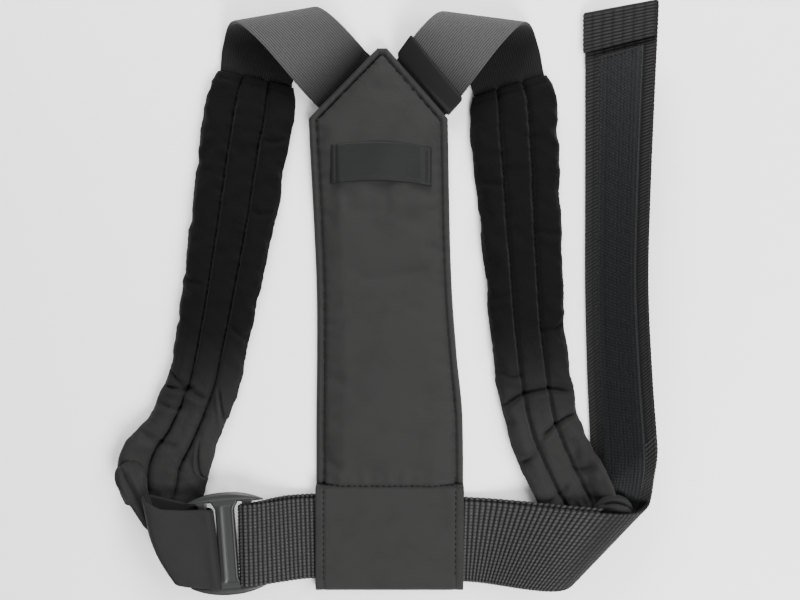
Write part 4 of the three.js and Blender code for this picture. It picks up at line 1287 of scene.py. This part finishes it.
BEAD_STEPS = 4
BEAD_COLUMNS = round(BELT_WIDTH / BEAD_ACROSS) * BEAD_STEPS + 1
TAPE_LEAD = 84
FINE_START = 80.0
BEAD_DEPTH = 0.6


def bead_relief(rows, columns):
    """Height of woven beads over an even grid with BEAD_STEPS places to each bead."""
    along = np.abs(np.sin(math.pi * np.arange(rows) / BEAD_STEPS))[:, None] ** 1.2
    across = np.abs(np.sin(math.pi * np.arange(columns) / BEAD_STEPS))[None, :] ** 0.35
    return BEAD_DEPTH * (along * across - 0.4)


def woven(name, grid, out, material=BELT_WEAVE, thickness=BELT_THICKNESS, depth=1.0):
    """A length of webbing from an even grid and its normals, with scalloped edges."""
    rows, columns = grid.shape[:2]
    fine = smooth(grid @ np.array(FINE_SIDE), FINE_START, FINE_START + 14.0)
    relief = depth * (bead_relief(rows, columns) * (1 - 0.7 * fine))[:, :, None]
    fade = edge_fade(columns, BELT_WIDTH, 1.3)[None, :, None]
    sideways = grid[:, -1:] - grid[:, :1]
    sideways = sideways / np.linalg.norm(sideways, axis=2, keepdims=True)
    scallop = np.zeros((rows, columns, 1))
    edge = 0.45 * np.abs(np.sin(math.pi * np.arange(rows) / BEAD_STEPS)) - 0.3
    scallop[:, 0, 0] = -edge
    scallop[:, -1, 0] = edge
    middle = grid + sideways * scallop
    upper = middle + out * (thickness / 2 + relief) * fade
    lower = middle - out * (thickness / 2 + relief) * fade
    points, faces = slab(upper, lower)
    across = np.broadcast_to(np.arange(columns)[None, :] * BEAD_ACROSS / BEAD_STEPS, (rows, columns))
    along = np.broadcast_to(np.arange(rows)[:, None] * BEAD_ALONG / BEAD_STEPS, (rows, columns))
    uv = np.tile(np.stack([across, along], -1).reshape(-1, 2), (2, 1))
    return make(name, points, faces, material, uv)


def make_belt():
    """Rear layer, front layer with the turn, and free strap, each as its own object."""
    rear, front, strap = belt_rows()
    grid = refine(np.concatenate([rear, front, strap]), BEAD_ALONG / BEAD_STEPS, BEAD_COLUMNS)
    out = normals(grid)
    rear_end = round(row_lengths(rear)[-1] / BEAD_ALONG) * BEAD_STEPS
    front_length = row_lengths(np.concatenate([rear[-1:], front]))[-1]
    front_end = rear_end + round(front_length / BEAD_ALONG) * BEAD_STEPS
    made = [
        woven("belt_rear", grid[:rear_end + 1], out[:rear_end + 1]),
        woven("belt_front", grid[rear_end:front_end + 1], out[rear_end:front_end + 1]),
        woven("belt_strap", grid[front_end:], out[front_end:], STRAP_WEAVE, depth=0.0),
    ]
    return made, grid[front_end - TAPE_LEAD:], out[front_end - TAPE_LEAD:]


def make_strap_hem(strap, out):
    """The strap's end folded back over its visible face."""
    steps = int(STRAP_HEM / BEAD_ALONG) * BEAD_STEPS
    end, outward = strap[-1], -out[-1]
    ahead = strap[-1] - strap[-2]
    ahead /= np.linalg.norm(ahead, axis=1, keepdims=True)
    radius = (BELT_THICKNESS + 0.5) / 2
    fold = [
        end + ahead * radius * math.sin(angle) + outward * radius * (1 - math.cos(angle))
        for angle in np.linspace(0, math.pi, 9)
    ]
    back = strap[-steps:][::-1] - out[-steps:][::-1] * 2 * radius
    grid = refine(np.concatenate([fold, back[1:]]), BEAD_ALONG / BEAD_STEPS, strap.shape[1])
    return woven("belt_strap_hem", grid, normals(grid), STRAP_WEAVE, 1.8, 0.0)


def make_hook_tape(strap):
    """The hook tape, on the strap's inner face from inside the turn up to the hem."""
    edges = [HOOK_TAPE_SHIFT + side * HOOK_TAPE_WIDTH / 2 + BELT_WIDTH / 2 for side in (-1, 1)]
    first, last = (round(edge / BELT_WIDTH * (strap.shape[1] - 1)) for edge in edges)
    end = len(strap) - int(STRAP_HEM / BEAD_ALONG * BEAD_STEPS)
    grid = refine(strap[:end:6, first:last + 1], 0.7, 63)
    out = -normals(grid)
    across = np.linspace(0, HOOK_TAPE_WIDTH, 63)[None, :]
    along = row_lengths(grid)[:, None]
    zigzag = np.abs((across / 3.2) % 1 - 0.5) * 3.2
    lean = ((along + zigzag) / 1.9) % 1
    rim = np.minimum(across, HOOK_TAPE_WIDTH - across)
    hooks = 0.45 * lean**1.5 * smooth(rim, 2.0, 3.0)
    fade = edge_fade(63, HOOK_TAPE_WIDTH, 0.8)[None, :, None]
    seat = BELT_THICKNESS / 2 + 1.2 * GAP
    upper = grid + out * (seat + (HOOK_TAPE_THICKNESS - 0.3 + hooks[..., None]) * fade)
    points, faces = slab(upper, grid + out * seat)
    obj = make("hook_tape_strip", points, faces, HOOK_FINISH, strap_uv(grid))
    lines = []
    for place in (1.2, HOOK_TAPE_WIDTH - 1.2):
        number = round(place / HOOK_TAPE_WIDTH * 62)
        lines.append((upper[:, number], out[:, number]))
    for number in (3, -4):
        lines.append((upper[number], out[number]))
    return obj, lines


BUCKLE_TURN = math.atan(BELT_SLOPE_AT_BUCKLE)
BUCKLE_RISE = 1.5
BUCKLE_CENTRE = belt_line(BUCKLE_CENTRE_X) + (0, 0, BUCKLE_HEIGHT)
SLOT_HALF = (BELT_WIDTH + SLOT_EASE) / 2


def in_buckle(points):
    """Points given in the buckle's own plane, put where the buckle lies."""
    points = np.asarray(points, float)
    c, s = math.cos(BUCKLE_TURN), math.sin(BUCKLE_TURN)
    x, y, z = points[..., 0], points[..., 1], points[..., 2]
    turned = np.stack([x * c - y * s, x * s + y * c, z], -1)
    return turned + BUCKLE_CENTRE


def rail_edge(u):
    """How far out a rail's curved edge lies."""
    share = np.abs(u) / (BUCKLE_LENGTH / 2)
    return SLOT_HALF + RAIL_DEPTH * np.clip(1 - share**2.2, 0, 1)


def rounded_slot(left, right, radius=1.6):
    """Outline of a slot with round corners."""
    line = []
    top, low = SLOT_HALF, -SLOT_HALF
    for x, y, first in ((right, top, 0), (left, top, 90), (left, low, 180), (right, low, 270)):
        centre_x = x - math.copysign(radius, x - (left + right) / 2)
        centre_y = y - math.copysign(radius, y)
        for angle in np.radians(first + np.linspace(0, 90, 6)):
            line.append((centre_x + radius * math.cos(angle), centre_y + radius * math.sin(angle)))
    return line


def buckle_plate():
    """The buckle's flat frame with its two slots and softened edges."""
    half = BUCKLE_LENGTH / 2
    bar = BAR_OFFSET + SIDE_BAR_RADIUS
    u = np.linspace(-half, half, 41)
    top = list(zip(u, rail_edge(u)))
    bottom = [(x, -y) for x, y in reversed(top)]
    side = [
        (bar + 1.4, SLOT_HALF - 0.6), (bar, SLOT_HALF - 2.4),
        (bar, -SLOT_HALF + 2.4), (bar + 1.4, -SLOT_HALF + 0.6),
    ]
    outline = top + side + bottom + [(-x, -y) for x, y in side]
    inner = BAR_OFFSET - SIDE_BAR_RADIUS
    holes = [rounded_slot(-inner, -MIDDLE_BAR_WIDTH / 2), rounded_slot(MIDDLE_BAR_WIDTH / 2, inner)]
    curve_data = bpy.data.curves.new("buckle_plate", "CURVE")
    curve_data.dimensions = "2D"
    curve_data.fill_mode = "BOTH"
    for line in (outline, *holes):
        spline = curve_data.splines.new("POLY")
        spline.points.add(len(line) - 1)
        spline.use_cyclic_u = True
        for point, (x, y) in zip(spline.points, line):
            point.co = (x, y, 0, 1)
    soft = 0.8
    curve_data.extrude = MIDDLE_BAR_THICKNESS / 2 - soft
    curve_data.bevel_depth = soft
    curve_data.offset = -soft
    curve_data.bevel_resolution = 3
    shape = bpy.data.objects.new("buckle_plate", curve_data)
    bpy.context.scene.collection.objects.link(shape)
    settled = shape.evaluated_get(bpy.context.evaluated_depsgraph_get())
    mesh = bpy.data.meshes.new_from_object(settled)
    points = np.array([tuple(vertex.co) for vertex in mesh.vertices])
    faces = [tuple(polygon.vertices) for polygon in mesh.polygons]
    bpy.data.objects.remove(shape)
    return points, faces


def rail_body(side):
    """A domed rail over one end of the plate."""
    half = BUCKLE_LENGTH / 2
    rings = []
    for u in np.linspace(-half + 0.3, half - 0.3, 49):
        outer = float(rail_edge(np.array(u))) + 0.15
        inner = SLOT_HALF - 0.5
        middle, reach = (outer + inner) / 2, (outer - inner) / 2
        tall = RAIL_THICKNESS / 2 * min(1, (reach / (RAIL_DEPTH / 2)) ** 0.4)
        ring = []
        for angle in np.linspace(0, 2 * math.pi, 20, endpoint=False):
            c, s = math.cos(angle), math.sin(angle)
            ring.append((u * side, side * (middle + reach * c), tall * math.copysign(abs(s) ** 0.75, s)))
        rings.append(ring)
    return tube_faces(np.array(rings))


def tube_faces(rings):
    """A closed body through rings of points."""
    rows, around = rings.shape[:2]
    index = np.arange(rows * around).reshape(rows, around)
    index = np.hstack([index, index[:, :1]])
    quads = np.stack([index[:-1, :-1], index[:-1, 1:], index[1:, 1:], index[1:, :-1]], -1)
    faces = [tuple(quad) for quad in quads.reshape(-1, 4)]
    faces += [tuple(index[0, :-1][::-1]), tuple(index[-1, :-1])]
    return rings.reshape(-1, 3), faces


# Middle bar's outer face: place across and height, both in millimetres.
MIDDLE_BAR_FACE = np.array([
    (-5.4, 1.0), (-4.6, 1.9), (-2.6, 2.4), (-1.8, 2.3), (-1.0, 1.9), (0.5, 1.75),
    (3.4, 1.75), (4.1, 2.1), (4.8, 1.9), (5.4, 1.0),
])


def middle_bar():
    u = np.linspace(-5.4, 5.4, 61)
    v = np.linspace(-SLOT_HALF - 1, SLOT_HALF + 1, 81)
    face = np.interp(u, MIDDLE_BAR_FACE[:, 0], MIDDLE_BAR_FACE[:, 1])
    plain = np.interp(u, (-5.4, -4.9, 4.9, 5.4), (1.0, 2.0, 2.0, 1.0))
    ends = smooth(np.abs(v), SLOT_HALF - 3.2, SLOT_HALF - 2.2)
    height = lerp(face[None, :], plain[None, :], ends[:, None])
    grid_u, grid_v = np.meshgrid(u, v)
    grid_u = grid_u * (1.08 + 0.5 * smooth(np.abs(grid_v), SLOT_HALF - 5.5, SLOT_HALF + 1))
    upper = np.stack([grid_u, grid_v, height], -1)
    lower = np.stack([grid_u, grid_v, np.full_like(height, -MIDDLE_BAR_THICKNESS / 2)], -1)
    return slab(upper[:, ::-1], lower[:, ::-1])


def make_buckle():
    points = []
    faces = []
    count = 0
    for body_points, body_faces in (buckle_plate(), rail_body(1), rail_body(-1), middle_bar()):
        faces += [tuple(int(k) + count for k in face) for face in body_faces]
        points.append(np.asarray(body_points))
        count += len(body_points)
    raised = np.concatenate(points) + (0, BUCKLE_RISE, 0)
    return make("slide_buckle_nylon", in_buckle(raised), faces, NYLON)


# The band's outer fold: share of the way round; how far in, as a share, and how far down.
BAND_FOLD = (
    np.array([0.0, 0.15, 0.3, 0.55, 0.8, 0.92, 1.0]),
    np.array([
        (1.0, 0.0), (0.78, 0.08), (0.58, 0.25), (0.25, 0.55), (0.0, 0.85), (0.3, 0.98), (1.0, 1.0),
    ]),
)
BAND_FOLD_DEPTH = 5.2
BAND_BULGE = 4.2
# How far the band's upper edge stands up from level: place round the ring, then millimetres.
BAND_TOP_LINE = (
    (0.0, 0.18, 0.28, 0.4, 0.5, 0.6, 0.75, 1.0),
    (1.5, 1.5, -0.6, -1.2, 2.8, 4.0, 3.4, 1.5),
)


def make_band():
    """One ring of smooth band: round the left bar, out over its crown, and back beneath."""
    wrap = SIDE_BAR_RADIUS + WRAP_GAP + BAND_THICKNESS / 2
    bar = -BAR_OFFSET
    across = np.linspace(-BAND_WIDTH / 2, BAND_WIDTH / 2, 57)
    far = bar - BAND_LENGTH - BAND_SLANT * across / BAND_WIDTH
    crown = BAND_CROWN - BAND_THICKNESS / 2
    back = BAND_BACK_HEIGHT - BAND_THICKNESS / 2
    rows = []
    loose = 1.6 + wedge(across, BAND_WIDTH)
    upper_part = smooth(across, 0, BAND_WIDTH / 2)
    lower_part = smooth(-across, 0, BAND_WIDTH / 2)
    down = 0.5 - across / BAND_WIDTH
    far = far - BAND_BULGE * np.sin(math.pi * down**1.3)
    for angle in math.pi * (np.linspace(0, 1, 17) - 0.5):
        level = BUCKLE_HEIGHT + wrap * math.sin(angle) + 0 * across
        rows.append((bar + wrap * math.cos(angle) + loose, level))
    for share in np.linspace(0, 1, 29)[1:]:
        wave = 0.5 * math.sin(math.pi * share) * np.sin(across / 8.5 + 5.0 * share)
        level = lerp(BUCKLE_HEIGHT + wrap, crown, smooth(share, 0, 1))
        rows.append((lerp(bar + loose, far + BAND_FOLD_DEPTH, share), level + wave))
    for share in np.linspace(0, 1, 25)[1:]:
        inset, fall = curve(*BAND_FOLD, share)
        rows.append((far + BAND_FOLD_DEPTH * inset + 0 * across, lerp(crown, back, fall) + 0 * across))
    for share in np.linspace(0, 1, 25)[1:-1]:
        level = lerp(back, BUCKLE_HEIGHT - wrap, smooth(share, 0, 1))
        rows.append((lerp(far + BAND_FOLD_DEPTH, bar + loose, share), level + 0 * across))
    places = np.linspace(0, 1, len(rows))
    rise = np.interp(places, *BAND_TOP_LINE)
    drop = np.interp(places, (0.0, 0.3, 0.5, 1.0), (1.6, 1.2, 0.0, 1.2))
    grid = np.array([
        np.stack([u, across - (u - bar) * BAND_CLIMB + lift * upper_part - low * lower_part, z], -1)
        for (u, z), lift, low in zip(rows, rise, drop)
    ])
    grid = in_buckle(grid) - (0, 0, BUCKLE_HEIGHT)
    points, faces = strap_slab(grid, BAND_THICKNESS, looped=True)
    return make("side_band_tape", points, faces, BAND_TAPE, strap_uv(grid))


# Gathered ends of the arm pads: place in millimetres and radius of the roll at each point.
LEFT_CURL = np.array([
    (-161.8, 80.5, 10.0, 1.2), (-161.2, 78.0, 11.0, 6.2),
    (-160.6, 73.1, 12.0, 8.4), (-159.3, 67.5, 12.5, 8.6),
    (-155.6, 58.8, 13.5, 6.6), (-151.6, 51.4, 15.0, 5.2),
    (-147.6, 44.0, 16.5, 4.0), (-145.2, 38.4, 17.0, 1.4),
])
RIGHT_CURL = np.array([
    (127.0, 52.5, 14.0, 1.5), (131.5, 54.0, 17.0, 4.6), (137.0, 55.0, 19.0, 5.8), (142.5, 54.0, 19.5, 5.6),
    (146.0, 52.5, 19.5, 3.8), (148.5, 51.0, 19.0, 1.2),
])


def make_gathered(name, route, groove_angle, pleats):
    """A pad's gathered end: a tube closed at both ends, with a deep fold and pleats along it."""
    line = curve(np.arange(len(route)), route, np.linspace(0, len(route) - 1, 64))
    middle, radius = line[:, :3], line[:, 3:]
    ahead = np.gradient(middle, axis=0)
    ahead /= np.linalg.norm(ahead, axis=1, keepdims=True)
    side = np.cross(ahead, (0.0, 0.0, 1.0))
    side /= np.linalg.norm(side, axis=1, keepdims=True)
    up = np.cross(side, ahead)
    angle = np.linspace(0, 2 * math.pi, 72, endpoint=False)[None, :]
    along = row_lengths(middle[:, None])[:, None]
    gap = np.angle(np.exp(1j * (angle - groove_angle - 0.02 * along)))
    groove = 0.55 * np.exp(-((gap / 0.3) ** 2)) * smooth(along, 3.0, 9.0)
    wrinkle = 0.09 * np.sin(pleats * angle + 0.12 * along)
    wrinkle = wrinkle + 0.05 * np.sin(2.3 * pleats * angle - 0.2 * along)
    reach = radius * (1 - groove + wrinkle)
    rings = middle[:, None] + side[:, None] * (reach * np.cos(angle))[..., None]
    rings = rings + up[:, None] * (reach * np.sin(angle))[..., None]
    rings[..., 2] = np.maximum(rings[..., 2], 0.6)
    points, faces = tube_faces(rings)
    return make(name, points, faces, PAD_FABRIC)


def make_panel():
    x, y = panel_grid()
    coarse = (slice(None, None, 3), slice(None, None, 3))
    lift = panel_lift(y)
    under = np.minimum(0.9, (panel_top(x, y) - lift) * 0.2)
    inset, _ = from_rim(x, y)
    lower = lift + under * (1 - smooth(inset, 0.5, 4))
    upper_points = flat_stack(x, y, panel_top(x, y))
    lower_points = flat_stack(x, y, lower)
    body, body_faces = slab(upper_points[coarse], lower_points[coarse])

    def held(places):
        gap, _ = from_rim(places[:, 0], places[:, 1])
        seam = np.abs(places[:, 1] - TUNNEL_SEAM)
        above = places[:, 2] - panel_lift(places[:, 1])
        loose = smooth(gap, 6, 9) * smooth(seam, 2, 6) * smooth(above, 2.0, 5.0)
        return 1 - loose * (places[:, 1] > TUNNEL_SEAM)

    shift = puffed(body, body_faces, held, 1.2)
    points, faces = slab(upper_points, lower_points)
    points = points + shift(points)
    obj = make("back_panel_cloth", points, faces, PANEL_FABRIC)
    low = (-PANEL_WIDTH, TUNNEL_WALL, PANEL_BACKING)
    high = (PANEL_WIDTH, TUNNEL_WALL + TUNNEL_DEPTH, TUNNEL_TOP)
    cut_box(obj, low, high)
    return obj


def on_panel(x, y, above=0.1):
    """Points just above the panel's outer face, and upward normals."""
    points = flat_stack(x, y, panel_top(x, y) + above)
    return points, np.tile((0.0, 0.0, 1.0), (len(points), 1))


def panel_stitch_lines():
    line = panel_rim(STITCH_INSET)
    inset, _ = from_rim(line[:, 0], line[:, 1])
    line = line[(inset > STITCH_INSET * 0.8) & (line[:, 1] > 1.0)]
    steps = np.concatenate([[0], np.cumsum(np.linalg.norm(np.diff(line, axis=0), axis=1))])
    dense = np.linspace(0, steps[-1], 900)
    around = on_panel(np.interp(dense, steps, line[:, 0]), np.interp(dense, steps, line[:, 1]))
    left, right = panel_edges(np.array(TUNNEL_SEAM))
    x = np.linspace(left + 3, right - 3, 160)
    return [around, on_panel(x, np.full_like(x, TUNNEL_SEAM))]


def label_stitch_lines():
    lines = []
    for side in (-1, 1):
        v = np.linspace(-0.92, 0.92, 40)
        u = np.full_like(v, side * (1 - 6.8 / LABEL_WIDTH))
        lines.append((label_place(u, v, np.full_like(v, 0.75)), np.tile((0.0, 0.0, 1.0), (40, 1))))
    return lines


panel = put(make_panel(), "panel_fabric", "back_panel")
put(stitches("panel_stitches", panel_stitch_lines(), PANEL_THREAD, 3.6, 2.5, 0.42), "panel_fabric")
label = put(make_label(), "label", "label_patch")
put(stitches("label_stitches", label_stitch_lines(), PANEL_THREAD, 2.6, 1.9, 0.25), "label")
put(make_elastic("left_elastic_web", LEFT_ELASTIC), "elastic_rib", "left_elastic")
put(make_elastic("right_elastic_web", RIGHT_ELASTIC), "elastic_rib", "right_elastic")
put(make_keeper(), "keeper", "elastic_keeper")

pad_lines = []
PADS = (("left_pad_quilt", LEFT_PAD, "left_pad"), ("right_pad_quilt", RIGHT_PAD, "right_pad"))
for pad_name, pad, node in PADS:
    quilt, pad_shift = make_pad(pad_name, pad)
    put(quilt, "pad_fabric", node)
    pad_lines += [pad.seam_line(at, pad_shift) for at in PAD_SEAMS]
put(stitches("pad_stitches", pad_lines, PAD_THREAD, 3.6, 2.6, 0.28), "pad_fabric")

belt_parts, strap_grid, strap_out = make_belt()
for part in belt_parts:
    put(part, "belt_webbing", "belt_webbing")
put(make_strap_hem(strap_grid, strap_out), "belt_webbing")
tape_strip, tape_lines = make_hook_tape(strap_grid)
put(tape_strip, "hook_tape", "hook_tape")
put(stitches("tape_stitches", tape_lines, PAD_THREAD, 3.0, 2.2, 0.25), "hook_tape")
put(make_band(), "band", "side_band")
put(make_buckle(), "buckle_plastic", "slide_buckle")
put(make_gathered("left_pad_curl", LEFT_CURL, 1.1, 5), "pad_fabric")
put(make_gathered("right_pad_curl", RIGHT_CURL, 1.9, 4), "pad_fabric")

FLOOR_SIZE = 3.0
CAMERA_PLACE = (0.00971, 0.00146, 0.700)


def make_floor():
    finish = Finish("pale_floor", 0.6, specular=0.2)
    grain = finish.use(GRAIN, Vector=finish.coordinates["Object"])
    finish.tint(grain["Tone"], grey(0.86), grey(0.9))
    half = FLOOR_SIZE / 2 / MM
    corners = np.array([(-half, -half, -0.3), (half, -half, -0.3), (half, half, -0.3), (-half, half, -0.3)])
    return make("floor", corners, [(0, 1, 2, 3)], finish.material)


def soft_light(name, place, target, size, power):
    data = bpy.data.lights.new(name, "AREA")
    data.shape = "DISK"
    data.size = size
    data.energy = power
    lamp = bpy.data.objects.new(name, data)
    lamp.location = place
    lamp.rotation_euler = (Vector(target) - Vector(place)).to_track_quat("-Z", "Y").to_euler()
    bpy.context.scene.collection.objects.link(lamp)
    return lamp


make_floor()
soft_light("key", (0.35, -0.75, 0.85), (0, 0, 0), 0.6, 24)
soft_light("top", (-0.05, 0.95, 0.5), (0, 0.1, 0), 0.5, 20)
soft_light("fill", (0.75, 0.1, 0.9), (0, 0, 0), 0.8, 12)

world = bpy.data.worlds.new("studio")
world.use_nodes = True
world.node_tree.nodes["Background"].inputs["Color"].default_value = (1, 1, 1, 1)
world.node_tree.nodes["Background"].inputs["Strength"].default_value = 0.6
bpy.context.scene.world = world

camera_data = bpy.data.cameras.new("camera")
camera_data.lens = 50
camera_data.sensor_width = 36
camera = bpy.data.objects.new("camera", camera_data)
camera.location = CAMERA_PLACE
bpy.context.scene.collection.objects.link(camera)
bpy.context.scene.camera = camera
